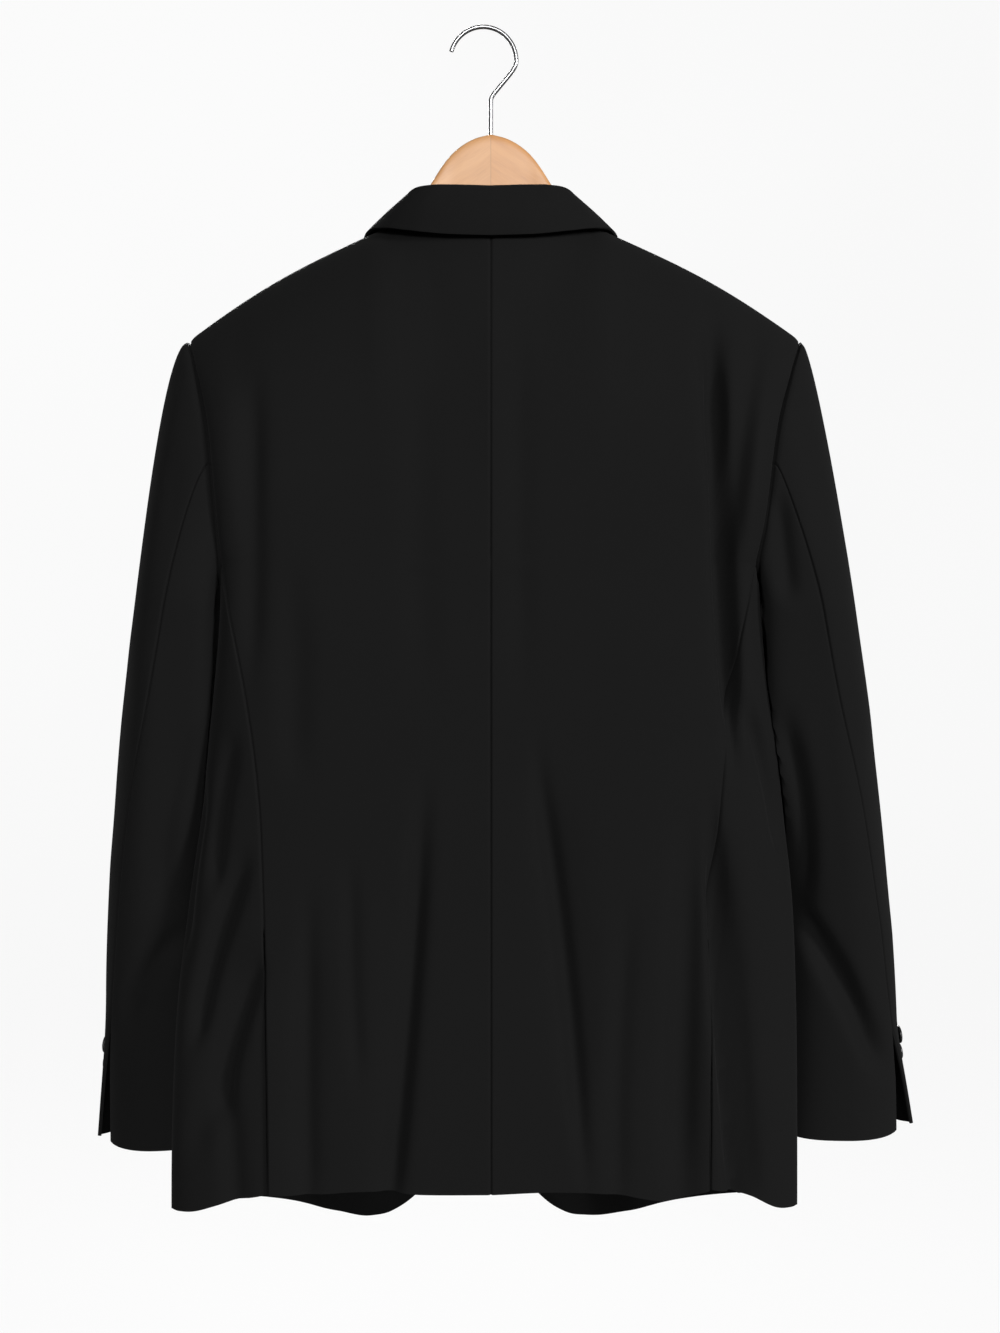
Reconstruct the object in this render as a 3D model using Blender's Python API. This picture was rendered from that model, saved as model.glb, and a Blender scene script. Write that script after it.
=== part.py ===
"""A dinner jacket on a wooden hanger, held up by the hanger's wire hook.

Metres, +Z up. The jacket's front faces -Y and the wearer's left is +X.
The origin is the underside of the top of the hook, where a peg carries it.
Every cloth piece is a wall of even thickness on a surface worked out from
the tables below: the body from level sections, the shoulders from seams,
and each sleeve from rings hung below the armhole.
"""
import math

import bmesh
import bpy
import numpy as np
from mathutils import Vector

CLOTH = 0.0018
SEAM_GAP = 0.0004
LEFT, RIGHT = 1, -1
SIDE_NAMES = {LEFT: "left", RIGHT: "right"}

# Levels shared by several pieces
BACK_CORNER = math.radians(120)     # armhole angle where the back meets the side
FRONT_CORNER = math.radians(225)    # armhole angle where the side meets the front
ARMHOLE_STEP = math.radians(15)     # every piece has a point at each step
LOWER_ROWS = 13
BACK_STEPS, SIDE_STEPS, FRONT_STEPS = 8, 7, 9
SLEEVE_BACK_TURN = math.radians(75)
TOP_TURN = math.radians(-120)
UNDER_TURN = math.radians(240)
TOP_STEPS, UNDER_STEPS = 13, 11
SLEEVE_ROWS = 11
CAP_ROWS = np.array([0, 0.12, 0.25, 0.4, 0.55, 0.7, 0.85, 1.0])
NECK_SHARE = 0.31
BACK_COLUMNS = np.concatenate([np.linspace(0, NECK_SHARE, 6), np.linspace(NECK_SHARE, 1, 8)[1:]])
FRONT_COLUMNS = np.array([0, 0.03, 0.08, 0.14, 0.22, 0.33, 0.46, 0.60, 0.74, 0.87, 1.0])
VENT_TOP = -0.702
VENT_LIFT = 0.0015
UNDERLAP_SHARES = (0.80, 0.985)
UNDERLAP_HEIGHTS = (0.004, 0.42)
UNDERLAP_GAP = 0.0008
LAP_DEPTH = 0.0056
LAPEL_LIFT = 0.0011
LAPEL_ROWS = 12
LAPEL_START = 0.68
BUTTON_LIFT = 0.0006
BUTTON_SHARE = 0.085
BUTTON_HEIGHT = 0.652
CUFF_BUTTONS = 4
CUFF_BUTTON_HEIGHT = 1.93
CUFF_BUTTON_STEP = 0.036
CUFF_BUTTON_SHARE = 0.19
COLLAR_COLUMNS = 22
COLLAR_ROWS = [0, 0.12, 0.25, 0.35, 0.45, 0.55, 0.65, 0.82, 1.0]
HANGER_SIDES = 16
HEAD_END, ARM_START, ARM_END = 0.046, 0.080, 0.205
WIRE_SIDES = 8
SIDE_NECK = (0.075, 0.008, -0.151)
SHOULDER_RISE = 0.0066
BACK_NECK = (0.0, 0.047, -0.158)
BACK_ROLL_SHARE = 0.4               # over this share the back's top turns from upright at the spine to level
BACK_ROLL = {"ahead": 0.02, "over": 0.18, "up": 0.16}
FRONT_ROLL_SHARE = 0.35
FRONT_ROLL = {"back": 0.15, "over": 0.05, "up": 0.05}
ROLL_START, ROLL_END = 0.25, 0.65   # where the collar's roll starts and ends between its seam and its edge
FALL_BULGE = 0.0025
RIM_POWER = 4                       # how closely a panel's edges follow the armhole and the spine


def table(columns, rows):
    """Named columns of a table, one row for each section."""
    return dict(zip(columns.split(), np.array(rows, float).T))


# Level sections of the body. The back and front are squared by a power.
BODY = table("z left right side_y back_y front_y back_power front_power", [
    (-0.990, 0.259, 0.248, 0.018, 0.063, -0.058, 3.0, 2.2),
    (-0.860, 0.256, 0.246, 0.020, 0.066, -0.060, 3.0, 2.2),
    (-0.775, 0.251, 0.244, 0.020, 0.068, -0.062, 3.1, 2.2),
    (-0.690, 0.241, 0.240, 0.018, 0.070, -0.064, 3.3, 2.4),
    (-0.590, 0.226, 0.229, 0.012, 0.075, -0.066, 3.8, 2.8),
    (-0.500, 0.217, 0.217, 0.008, 0.079, -0.066, 4.8, 3.0),
    (-0.410, 0.213, 0.212, 0.004, 0.078, -0.064, 6.0, 3.4),
])
# Half width of the back at its side seam, and the side body's front edge as a share of the width
BACK_SEAM = table("z left right", [
    (-0.990, 0.175, 0.172), (-0.760, 0.175, 0.173), (-0.665, 0.176, 0.175), (-0.600, 0.178, 0.177),
    (-0.526, 0.186, 0.184), (-0.477, 0.195, 0.190), (-0.410, 0.209, 0.206),
])
FRONT_SEAM = table("z share", [
    (-0.990, 0.84), (-0.760, 0.86), (-0.600, 0.90), (-0.500, 0.94), (-0.430, 0.97),
])
FRONT_EDGE = table("z left right", [
    (-0.990, 0.060, 0.034), (-0.940, 0.036, 0.014), (-0.880, 0.014, 0.001), (-0.800, -0.003, -0.007),
    (-0.700, -0.011, -0.013), (-0.600, -0.012, -0.014), (-0.434, 0.022, 0.020),
])
# Hems, by the share of each panel's width from its centre edge outwards
BACK_HEM = table("share left right", [
    (0.0, -0.909, -0.909), (0.3, -0.909, -0.907), (0.6, -0.907, -0.910), (0.8, -0.910, -0.915),
    (1.0, -0.911, -0.907),
])
SIDE_HEM = table("share left right", [
    (0.0, -0.911, -0.907), (0.1, -0.920, -0.915), (0.2, -0.929, -0.926), (0.3, -0.932, -0.929),
    (0.4, -0.933, -0.930), (0.6, -0.939, -0.936), (1.0, -0.946, -0.944),
])
FRONT_HEM = table("share left right", [
    (0.0, -0.885, -0.885), (0.02, -0.912, -0.912), (0.06, -0.938, -0.938), (0.12, -0.958, -0.958),
    (0.20, -0.971, -0.971), (0.30, -0.975, -0.975), (0.50, -0.968, -0.969), (0.75, -0.956, -0.956),
    (1.0, -0.946, -0.944),
])
# Centre back seam above the underarm
BACK_PROFILE = table("z y", [
    (-0.420, 0.0785), (-0.350, 0.0775), (-0.280, 0.0735), (-0.220, 0.0645), (-0.158, 0.047),
])
# Armhole seam, turning from the shoulder over the back and under the arm to the front
ARMHOLE = table("turn x y z", [
    (0, 0.2395, -0.004, -0.241), (30, 0.2310, 0.028, -0.263), (60, 0.2180, 0.051, -0.312),
    (90, 0.2110, 0.062, -0.370), (120, 0.2080, 0.056, -0.418), (150, 0.2100, 0.034, -0.438),
    (180, 0.2120, 0.005, -0.446), (225, 0.2070, -0.032, -0.434), (270, 0.2020, -0.054, -0.378),
    (300, 0.2070, -0.050, -0.325), (330, 0.2220, -0.030, -0.272), (360, 0.2395, -0.004, -0.241),
])
RIGHT_SHOULDER_REACH = 0.006
# Sleeve rings: outer edge and half width on each side, middle and half depth, and the seams' angles
SLEEVE = table("z left right left_half right_half y half_depth back_seam front_seam", [
    (-0.455, 0.2842, 0.2908, 0.0338, 0.0371, -0.004, 0.070, 90, -122),
    (-0.530, 0.2966, 0.3044, 0.0378, 0.0417, -0.009, 0.064, 78, -122),
    (-0.610, 0.3068, 0.3172, 0.0385, 0.0432, -0.017, 0.059, 62, -123),
    (-0.690, 0.3169, 0.3300, 0.0420, 0.0460, -0.032, 0.054, 52, -124),
    (-0.773, 0.3245, 0.3404, 0.0445, 0.0485, -0.046, 0.049, 42, -125),
    (-0.850, 0.3274, 0.3470, 0.0462, 0.0508, -0.057, 0.047, 26, -126),
    (-0.910, 0.3296, 0.3508, 0.0478, 0.0529, -0.063, 0.046, 22, -126),
])
CUFF = table("turn left right", [
    (-180, -0.904, -0.896), (-90, -0.907, -0.901), (0, -0.906, -0.894), (60, -0.907, -0.896),
    (180, -0.904, -0.896),
])
CUFF_VENT_TOP = {LEFT: -0.778, RIGHT: -0.800}
CUFF_END = {LEFT: -0.906, RIGHT: -0.894}
CUFF_FLARE = {LEFT: 0.0090, RIGHT: 0.0118}      # how far the top sleeve's edge stands out at the cuff
CUFF_FLARE_SHARE = 0.22
CUFF_FLARE_RISE = 0.4
CUFF_TUCK = -0.0012
CAP_SWELL = {LEFT: 0.25, RIGHT: 0.12}
SLEEVE_TOP = -0.455
INNER_BACK_POWER = {LEFT: 2.4, RIGHT: 3.2}      # squares the quarter of each ring towards the body's back
# Deepest folds: where each starts and ends, its half width and its depth
BACK_FOLDS = table("x0 z0 x1 z1 width depth", [
    (-0.168, -0.235, -0.186, -0.520, 0.010, 0.0045), (0.177, -0.290, 0.180, -0.480, 0.012, 0.0020),
    (0.144, -0.465, 0.147, -0.580, 0.012, 0.0015), (-0.046, -0.600, -0.072, -0.830, 0.018, 0.0035),
    (0.070, -0.680, 0.083, -0.910, 0.014, 0.0030), (0.139, -0.730, 0.142, -0.900, 0.014, 0.0020),
    (-0.150, -0.670, -0.146, -0.870, 0.010, 0.0025), (-0.178, -0.640, -0.204, -0.920, 0.009, 0.0050),
    (0.195, -0.720, 0.232, -0.880, 0.012, 0.0040),
])
FRONT_FOLDS = table("x0 z0 x1 z1 width depth", [
    (0.176, -0.300, 0.180, -0.520, 0.012, 0.0030), (-0.178, -0.290, -0.182, -0.500, 0.012, 0.0035),
    (0.020, -0.600, 0.120, -0.650, 0.012, 0.0025), (-0.030, -0.605, -0.130, -0.660, 0.012, 0.0025),
    (0.110, -0.760, 0.120, -0.960, 0.018, 0.0035), (-0.090, -0.740, -0.104, -0.960, 0.018, 0.0035),
])
# Collar: the neck seam under the stand, the top of the roll, and the edge of the fall
COLLAR = table("share seam_x seam_y seam_z roll_x roll_y roll_z edge_x edge_y edge_z roll_r", [
    (0.00, 0.0000, 0.0445, -0.1572, 0.0000, 0.0470, -0.1312, 0.0000, 0.0580, -0.1700, 0.0040),
    (0.20, 0.0262, 0.0415, -0.1563, 0.0275, 0.0462, -0.1303, 0.0370, 0.0555, -0.1682, 0.0040),
    (0.34, 0.0425, 0.0362, -0.1553, 0.0440, 0.0440, -0.1300, 0.0620, 0.0495, -0.1645, 0.0039),
    (0.46, 0.0568, 0.0275, -0.1534, 0.0560, 0.0350, -0.1306, 0.0820, 0.0370, -0.1600, 0.0037),
    (0.58, 0.0719, 0.0082, -0.1494, 0.0630, 0.0140, -0.1345, 0.0965, 0.0110, -0.1572, 0.0034),
    (0.72, 0.0712, -0.0058, -0.1610, 0.0665, -0.0080, -0.1490, 0.1040, -0.0145, -0.1712, 0.0032),
    (0.86, 0.0682, -0.0185, -0.1795, 0.0675, -0.0225, -0.1700, 0.1115, -0.0385, -0.2060, 0.0030),
    (1.00, 0.0650, -0.0280, -0.1973, 0.0660, -0.0345, -0.1925, 0.1130, -0.0585, -0.2630, 0.0028),
])
# Hanger: the top line of one arm, the wood below it, and the power that squares its section
HANGER = table("x y z thickness height power", [
    (0.0000, 0.0000, -0.0815, 0.0140, 0.050, 10), (0.0131, 0.0000, -0.0850, 0.0140, 0.050, 10),
    (0.0231, 0.0000, -0.0905, 0.0140, 0.049, 10), (0.0316, 0.0000, -0.0978, 0.0140, 0.046, 10),
    (0.0382, 0.0005, -0.1060, 0.0135, 0.043, 9), (0.0460, 0.0010, -0.1180, 0.0130, 0.040, 7),
    (0.0620, 0.0050, -0.1440, 0.0120, 0.034, 4), (0.0800, 0.0060, -0.1615, 0.0120, 0.032, 3),
    (0.1050, 0.0040, -0.1703, 0.0130, 0.032, 2.4), (0.1300, 0.0030, -0.1805, 0.0140, 0.031, 2.4),
    (0.1600, 0.0010, -0.1945, 0.0160, 0.030, 2.4), (0.2050, -0.0020, -0.2213, 0.0160, 0.026, 2.4),
    (0.2180, -0.0030, -0.2305, 0.0120, 0.017, 2.4), (0.2230, -0.0030, -0.2360, 0.0060, 0.006, 2.4),
])
# Lapel: its height at the gorge across, and its width up the roll line, on the front's own shares
LAPEL_TOP = table("share height", [
    (0.0, 1.67), (0.23, 1.61), (0.46, 1.55), (0.69, 1.49), (0.85, 1.54), (1.0, 1.60),
])
LAPEL_EDGE = table("share reach", [(0.0, 0.03), (0.25, 0.17), (0.5, 0.30), (0.75, 0.40), (1.0, 0.48)])
JET = {"shares": FRONT_COLUMNS[4:10], "heights": (0.440, 0.461), "thickness": 0.0012}
WELT = {"shares": (0.40, *FRONT_COLUMNS[6:10]), "heights": (1.135, 1.235), "slant": 0.20,
        "thickness": 0.0015}
CUFF_BUTTON = {"radius": 0.0075, "thickness": 0.0035, "sides": 16}
FRONT_BUTTON = {"radius": 0.0105, "thickness": 0.0045, "sides": 16}
BUTTON_SOFTNESS = 0.3
WIRE_RADIUS = 0.0017
HOOK_RADIUS = 0.026
HOOK_MIDDLE_X = 0.006
HOOK_TURNS = (16, 180)
HOOK_STEPS = 17
HOOK_NECK = table("x z ahead_x ahead_z", [
    (-0.0133, -0.0360, 0.64, -0.77), (-0.0030, -0.0482, 0.64, -0.77), (0.0, -0.0545, 0.0, -1.0),
])
NECK_STEPS = 4
STEM_DEPTH = 0.025
STEM_HOLE_RADIUS = WIRE_RADIUS + SEAM_GAP

WOOL = ("wool", (0.012, 0.012, 0.013), 0.85, 0.0)
SATIN = ("satin", (0.014, 0.014, 0.016), 0.40, 0.0)
MAPLE = ("maple", (0.62, 0.44, 0.28), 0.45, 0.0)
STEEL = ("steel", (0.62, 0.62, 0.63), 0.28, 1.0)


# ---- shapes ---------------------------------------------------------------

def smooth(at, knots, values):
    """A smooth curve through a table's rows, read at any value."""
    at = np.asarray(at, float)
    order = np.argsort(knots)
    knots, values = knots[order], values[order]
    slopes = np.gradient(values, knots)
    i = np.clip(np.searchsorted(knots, at) - 1, 0, len(knots) - 2)
    length = knots[i + 1] - knots[i]
    u = np.clip((at - knots[i]) / length, 0, 1)
    start, rise = values[i], values[i + 1] - values[i]
    swing = u * (1 - u) * ((1 - u) * (length * slopes[i] - rise) - u * (length * slopes[i + 1] - rise))
    return start + rise * u + swing


def ease(value):
    value = np.clip(value, 0, 1)
    return value * value * (3 - 2 * value)


def stack(*parts):
    return np.stack(np.broadcast_arrays(*parts), -1).astype(float)


def unit(vectors):
    return vectors / np.maximum(np.linalg.norm(vectors, axis=-1, keepdims=True), 1e-12)


def fold_depth(folds, x, z):
    """How deep the troughs lie at a place on the front or back."""
    total = np.zeros(np.broadcast(x, z).shape)
    for x0, z0, x1, z1, width, depth in zip(*folds.values()):
        along = (z - z0) / (z1 - z0)
        across = (x - (x0 + (x1 - x0) * along)) / width
        fade = ease((along + 0.15) / 0.3) * ease((1.15 - along) / 0.3)
        total = total + depth * np.exp(-across ** 2) * fade
    return total


def body_point(turn, z, side):
    """The body's surface: turn is pi/2 at the centre back, 0 at the side, -pi/2 at the centre front."""
    turn, z = np.broadcast_arrays(turn, z)
    width = smooth(z, BODY["z"], BODY[SIDE_NAMES[side]])
    middle = smooth(z, BODY["z"], BODY["side_y"])
    back = turn >= 0
    depth = np.where(back, smooth(z, BODY["z"], BODY["back_y"]) - middle,
                     middle - smooth(z, BODY["z"], BODY["front_y"]))
    power = np.where(back, smooth(z, BODY["z"], BODY["back_power"]),
                     smooth(z, BODY["z"], BODY["front_power"]))
    cos, sin = np.cos(turn), np.sin(turn)
    reach = (np.abs(cos) ** power + np.abs(sin) ** power) ** (-1 / power)
    x = side * width * reach * cos
    trough = np.where(back, fold_depth(BACK_FOLDS, x, z), fold_depth(FRONT_FOLDS, x, z))
    y = middle + depth * reach * sin - np.sign(sin) * trough * ease(2.5 * np.abs(sin))
    return stack(x, y, z)


def turn_at(x, z, side, back):
    """The turn at which the body's section reaches a half width."""
    width = smooth(z, BODY["z"], BODY[SIDE_NAMES[side]])
    power = smooth(z, BODY["z"], BODY["back_power" if back else "front_power"])
    share = np.clip(x / width, -1, 1)
    height = (1 - np.abs(share) ** power) ** (1 / power)
    return np.arctan2(height if back else -height, share)


def back_seam_turn(z, side):
    return turn_at(smooth(z, BACK_SEAM["z"], BACK_SEAM[SIDE_NAMES[side]]), z, side, True)


def front_seam_turn(z, side):
    width = smooth(z, BODY["z"], BODY[SIDE_NAMES[side]])
    return turn_at(smooth(z, FRONT_SEAM["z"], FRONT_SEAM["share"]) * width, z, side, False)


def armhole_table_point(turn, side):
    """The armhole seam as the table gives it, closed on itself at the shoulder."""
    knots = np.concatenate([ARMHOLE["turn"][-3:-1] - 360, ARMHOLE["turn"], ARMHOLE["turn"][1:3] + 360])
    x, y, z = (smooth(np.degrees(turn), knots, np.concatenate([ARMHOLE[axis][-3:-1], ARMHOLE[axis],
                                                               ARMHOLE[axis][1:3]])) for axis in "xyz")
    reach = RIGHT_SHOULDER_REACH if side == RIGHT else 0.0
    return stack(side * (x + reach * (0.5 + 0.5 * np.cos(turn)) ** 2), y, z)


def armhole_point(turn, side):
    """The armhole seam, with its two lower corners drawn onto the body's own surface."""
    points = armhole_table_point(turn, side)
    for corner, seam_turn in ((BACK_CORNER, back_seam_turn), (FRONT_CORNER, front_seam_turn)):
        by_table = armhole_table_point(corner, side)
        on_body = body_point(seam_turn(by_table[2], side), by_table[2], side)
        near = np.exp(-((np.asarray(turn) - corner) / ARMHOLE_STEP) ** 2)
        points = points + near[..., None] * (on_body - by_table)
    return points


def armhole_normal(turn, side):
    """Square to the armhole seam, away from the arm."""
    return stack(np.full(np.shape(turn), 0.15 * side), np.sin(turn), np.cos(turn)) / math.hypot(1, 0.15)


def blend_curve(start, start_slope, end, end_slope, t):
    """A curve from start to end that leaves and arrives along the two slopes."""
    t = t[..., None]
    return ((2 * t ** 3 - 3 * t ** 2 + 1) * start + (t ** 3 - 2 * t ** 2 + t) * start_slope
            + (3 * t ** 2 - 2 * t ** 3) * end + (t ** 3 - t ** 2) * end_slope)


# ---- surfaces: each gives points for a share across a panel and a height up it ----

def back_surface(s, v, side):
    """Back panel: s runs from the centre seam outwards, v is 0 at the hem, 1 under the arm, 2 at the top."""
    corner = armhole_point(BACK_CORNER, side)
    hem = smooth(s, BACK_HEM["share"], BACK_HEM[SIDE_NAMES[side]])
    z = hem + (corner[2] - hem) * np.minimum(v, 1)
    lower = back_section(s, z, side)
    vent = ease((s - 0.8) / 0.2) * ease((VENT_TOP - z) / 0.10)
    lower = lower + stack(0 * vent, VENT_LIFT * vent, 0 * vent)
    t = np.clip(v - 1, 0, 1)
    start = back_section(s, corner[2] + 0 * s, side)
    top, arrive = back_top(s, side)
    height = (top[..., 2] - corner[2])[..., None]
    leave = height * (start - back_section(s, corner[2] - 0.01 + 0 * s, side)) / 0.01
    upper = blend_curve(start, leave, top, arrive, t)
    rim_base = blend_curve(*back_rim(1.0, corner, side), t)
    rim = armhole_point(BACK_CORNER * (1 - t), side)
    spine_base = blend_curve(*back_rim(0.0, corner, side), t)
    spine_z = corner[2] + (BACK_NECK[2] - corner[2]) * t
    spine = stack(0 * t, smooth(spine_z, BACK_PROFILE["z"], BACK_PROFILE["y"]), spine_z)
    upper = upper + (s ** RIM_POWER)[..., None] * (rim - rim_base)
    upper = upper + ((1 - s) ** RIM_POWER)[..., None] * (spine - spine_base)
    x, z = upper[..., 0], upper[..., 2]
    upper[..., 1] -= (fold_depth(BACK_FOLDS, x, z) - fold_depth(BACK_FOLDS, start[..., 0], start[..., 2])
                      * (1 - ease(t * 3))) * ease((1 - s) * 12) * ease((1 - t) * 8) * ease(t * 3)
    return np.where((v > 1)[..., None], upper, lower)


def back_section(s, z, side):
    x = s * smooth(z, BACK_SEAM["z"], BACK_SEAM[SIDE_NAMES[side]])
    return body_point(turn_at(x, z, side, True), z, side)


def back_rim(s, corner, side):
    """Start, slope, end and slope of the back's plain curve at one edge."""
    s = np.array(s)
    start = back_section(s, np.array(corner[2]), side)
    top, arrive = back_top(s, side)
    below = back_section(s, np.array(corner[2] - 0.01), side)
    return start, (top[2] - corner[2]) * (start - below) / 0.01, top, arrive


def back_top(s, side):
    """Neck seam, then shoulder seam, with the slope on which the back arrives there."""
    quarter = np.minimum(s / NECK_SHARE, 1) * math.pi / 2
    neck = stack(side * SIDE_NECK[0] * np.sin(quarter),
                 SIDE_NECK[1] + (BACK_NECK[1] - SIDE_NECK[1]) * np.cos(quarter),
                 BACK_NECK[2] + (SIDE_NECK[2] - BACK_NECK[2]) * (1 - np.cos(quarter)))
    shoulder = shoulder_point((s - NECK_SHARE) / (1 - NECK_SHARE), side)
    over = ease(s / BACK_ROLL_SHARE)
    arrive = stack(0 * s, -BACK_ROLL["ahead"] - BACK_ROLL["over"] * over, BACK_ROLL["up"] * (1 - over))
    return np.where((s > NECK_SHARE)[..., None], shoulder, neck), arrive


def shoulder_point(share, side):
    share = np.clip(share, 0, 1)[..., None]
    neck = np.array([side * SIDE_NECK[0], SIDE_NECK[1], SIDE_NECK[2]])
    tip = armhole_point(np.array(0.0), side)
    rise = np.array([0, 0, SHOULDER_RISE]) * np.sin(math.pi * share ** 1.2)
    return neck + (tip - neck) * share + rise


def side_surface(s, v, side):
    """Side body: s runs from the back seam forwards, v is 0 at the hem and 1 at the armhole."""
    hem = smooth(s, SIDE_HEM["share"], SIDE_HEM[SIDE_NAMES[side]])
    rim = armhole_point(BACK_CORNER + (FRONT_CORNER - BACK_CORNER) * s, side)
    z = hem + (rim[..., 2] - hem) * v
    points = side_section(s, z, side)
    seat = ease((v - 0.75) / 0.25)[..., None]
    return points + seat * (rim - side_section(s, rim[..., 2], side))


def side_section(s, z, side):
    start, end = back_seam_turn(z, side), front_seam_turn(z, side)
    return body_point(start + (end - start) * s, z, side)


def front_surface(s, v, side):
    """Front: s runs from the front edge outwards, v is 0 at the hem, 1 under the arm, 2 at the shoulder."""
    corner = armhole_point(FRONT_CORNER, side)
    hem = smooth(s, FRONT_HEM["share"], FRONT_HEM[SIDE_NAMES[side]])
    z = hem + (corner[2] - hem) * np.minimum(v, 1)
    lower = front_section(s, z, side)
    t = np.clip(v - 1, 0, 1)
    start = front_section(s, corner[2] + 0 * s, side)
    top, arrive = front_top(s, side)
    height = (top[..., 2] - corner[2])[..., None]
    leave = height * (start - front_section(s, corner[2] - 0.01 + 0 * s, side)) / 0.01
    upper = blend_curve(start, leave, top, arrive, t)
    rim_base = blend_curve(*front_rim(corner, side), t)
    rim = armhole_point(FRONT_CORNER + (2 * math.pi - FRONT_CORNER) * t, side)
    upper = upper + (s ** RIM_POWER)[..., None] * (rim - rim_base)
    points = np.where((v > 1)[..., None], upper, lower)
    if side == RIGHT:
        points[..., 1] += LAP_DEPTH * ease((0.35 - s) / 0.2) * ease((1.3 - v) / 0.3)
    return points


def front_section(s, z, side):
    width = smooth(z, BODY["z"], BODY[SIDE_NAMES[side]])
    outer = smooth(z, FRONT_SEAM["z"], FRONT_SEAM["share"]) * width
    inner = smooth(z, FRONT_EDGE["z"], FRONT_EDGE[SIDE_NAMES[side]])
    return body_point(turn_at(inner + (outer - inner) * s, z, side, False), z, side)


def front_rim(corner, side):
    s = np.array(1.0)
    start = front_section(s, np.array(corner[2]), side)
    top, arrive = front_top(s, side)
    below = front_section(s, np.array(corner[2] - 0.01), side)
    return start, (top[2] - corner[2]) * (start - below) / 0.01, top, arrive


def front_top(s, side):
    over = ease(s / FRONT_ROLL_SHARE)
    arrive = stack(0 * s, FRONT_ROLL["back"] + FRONT_ROLL["over"] * over, FRONT_ROLL["up"] * (1 - over))
    return shoulder_point(s, side), arrive


def sleeve_surface(q, v, side, under):
    """Sleeve: q runs from back seam to front seam, v is 0 at the armhole, 1 below the cap, 2 at the cuff."""
    span = UNDER_TURN if under else TOP_TURN
    first = SLEEVE_BACK_TURN + (span - SLEEVE_BACK_TURN) * q
    start = armhole_point(np.mod(first, 2 * math.pi), side)
    below = sleeve_ring(q, SLEEVE_TOP + 0 * q, side, under)
    lower_slope = (sleeve_ring(q, SLEEVE_TOP - 0.01 + 0 * q, side, under) - below) / 0.01
    reach = np.linalg.norm(below - start, axis=-1, keepdims=True)
    leave = reach * np.array([CAP_SWELL[side] * side, 0, 0])
    cap = blend_curve(start, leave, below, reach * lower_slope, np.clip(v, 0, 1))
    angle = sleeve_angle(q, SLEEVE_TOP + 0 * q, under)
    cuff = smooth(np.degrees(np.arctan2(np.sin(angle), np.cos(angle))), CUFF["turn"], CUFF[SIDE_NAMES[side]])
    z = SLEEVE_TOP + (cuff - SLEEVE_TOP) * np.clip(v - 1, 0, 1)
    return np.where((v > 1)[..., None], sleeve_ring(q, z, side, under), cap)


def sleeve_angle(q, z, under):
    back = np.radians(smooth(z, SLEEVE["z"], SLEEVE["back_seam"]))
    front = np.radians(smooth(z, SLEEVE["z"], SLEEVE["front_seam"])) + (2 * math.pi if under else 0)
    return back + (front - back) * q


def sleeve_ring(q, z, side, under):
    angle = sleeve_angle(q, z, under)
    width = smooth(z, SLEEVE["z"], SLEEVE[f"{SIDE_NAMES[side]}_half"])
    middle = smooth(z, SLEEVE["z"], SLEEVE[SIDE_NAMES[side]]) - width
    depth = smooth(z, SLEEVE["z"], SLEEVE["half_depth"])
    fall = (CUFF_VENT_TOP[side] - z) / (CUFF_VENT_TOP[side] - CUFF_END[side])
    opened = np.maximum(fall, 0) * ease(1 - q / CUFF_FLARE_SHARE)
    lift = opened * (CUFF_TUCK if under else CUFF_FLARE[side])
    cos, sin = np.cos(angle), np.sin(angle)
    power = np.where((cos < 0) & (sin > 0), INNER_BACK_POWER[side], 2.0)
    reach = (np.abs(cos) ** power + np.abs(sin) ** power) ** (-1 / power)
    x = middle + width * reach * cos + lift
    y = smooth(z, SLEEVE["z"], SLEEVE["y"]) + depth * reach * sin
    return stack(side * x, y, z + (0 if under else CUFF_FLARE_RISE) * lift)


def collar_surface(s, v):
    """Collar: s runs from the right end to the left end, v from the neck seam over the roll to the edge."""
    share, side = np.abs(2 * s - 1), np.sign(2 * s - 1)
    seam, roll, edge = (
        stack(side * smooth(share, COLLAR["share"], COLLAR[f"{line}_x"]),
              smooth(share, COLLAR["share"], COLLAR[f"{line}_y"]),
              smooth(share, COLLAR["share"], COLLAR[f"{line}_z"]))
        for line in ("seam", "roll", "edge"))
    radius = smooth(share, COLLAR["share"], COLLAR["roll_r"])[..., None]
    up = unit(roll - (seam + edge) / 2)
    out = edge - seam
    out = unit(out - np.sum(out * up, -1, keepdims=True) * up)
    middle = roll - radius * up
    turn = math.pi * (1 - np.clip((v - ROLL_START) / (ROLL_END - ROLL_START), 0, 1))[..., None]
    arc = middle + radius * (out * np.cos(turn) + up * np.sin(turn))
    stand = np.clip(1 - v / ROLL_START, 0, 1)[..., None]
    fall = np.clip((v - ROLL_END) / (1 - ROLL_END), 0, 1)[..., None]
    bulge = out * FALL_BULGE * np.sin(math.pi * fall) * (1 - share[..., None])
    return arc + stand * (seam - (middle - radius * out)) + fall * (edge - (middle + radius * out)) + bulge


# ---- building ---------------------------------------------------------------

def normals_of(surface, s, v, flip):
    """Normals of a surface, square to its two directions at each point."""
    tiny = 1e-4
    across = surface(np.minimum(s + tiny, 1), v) - surface(np.maximum(s - tiny, 0), v)
    v0, v1 = np.maximum(v - tiny, v.min()), np.minimum(v + tiny, v.max())
    along = surface(s, v1) - surface(s, v0)
    return unit(np.cross(across, along)) * flip


def off_seams(points):
    """Draws each edge of a panel off its seam by half the gap between pieces."""
    moved = points.copy()
    for edge, inner in ((0, 1), (-1, -2)):
        moved[edge] += unit(points[inner] - points[edge]) * SEAM_GAP / 2
        moved[:, edge] += unit(points[:, inner] - points[:, edge]) * SEAM_GAP / 2
    return moved


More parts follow.
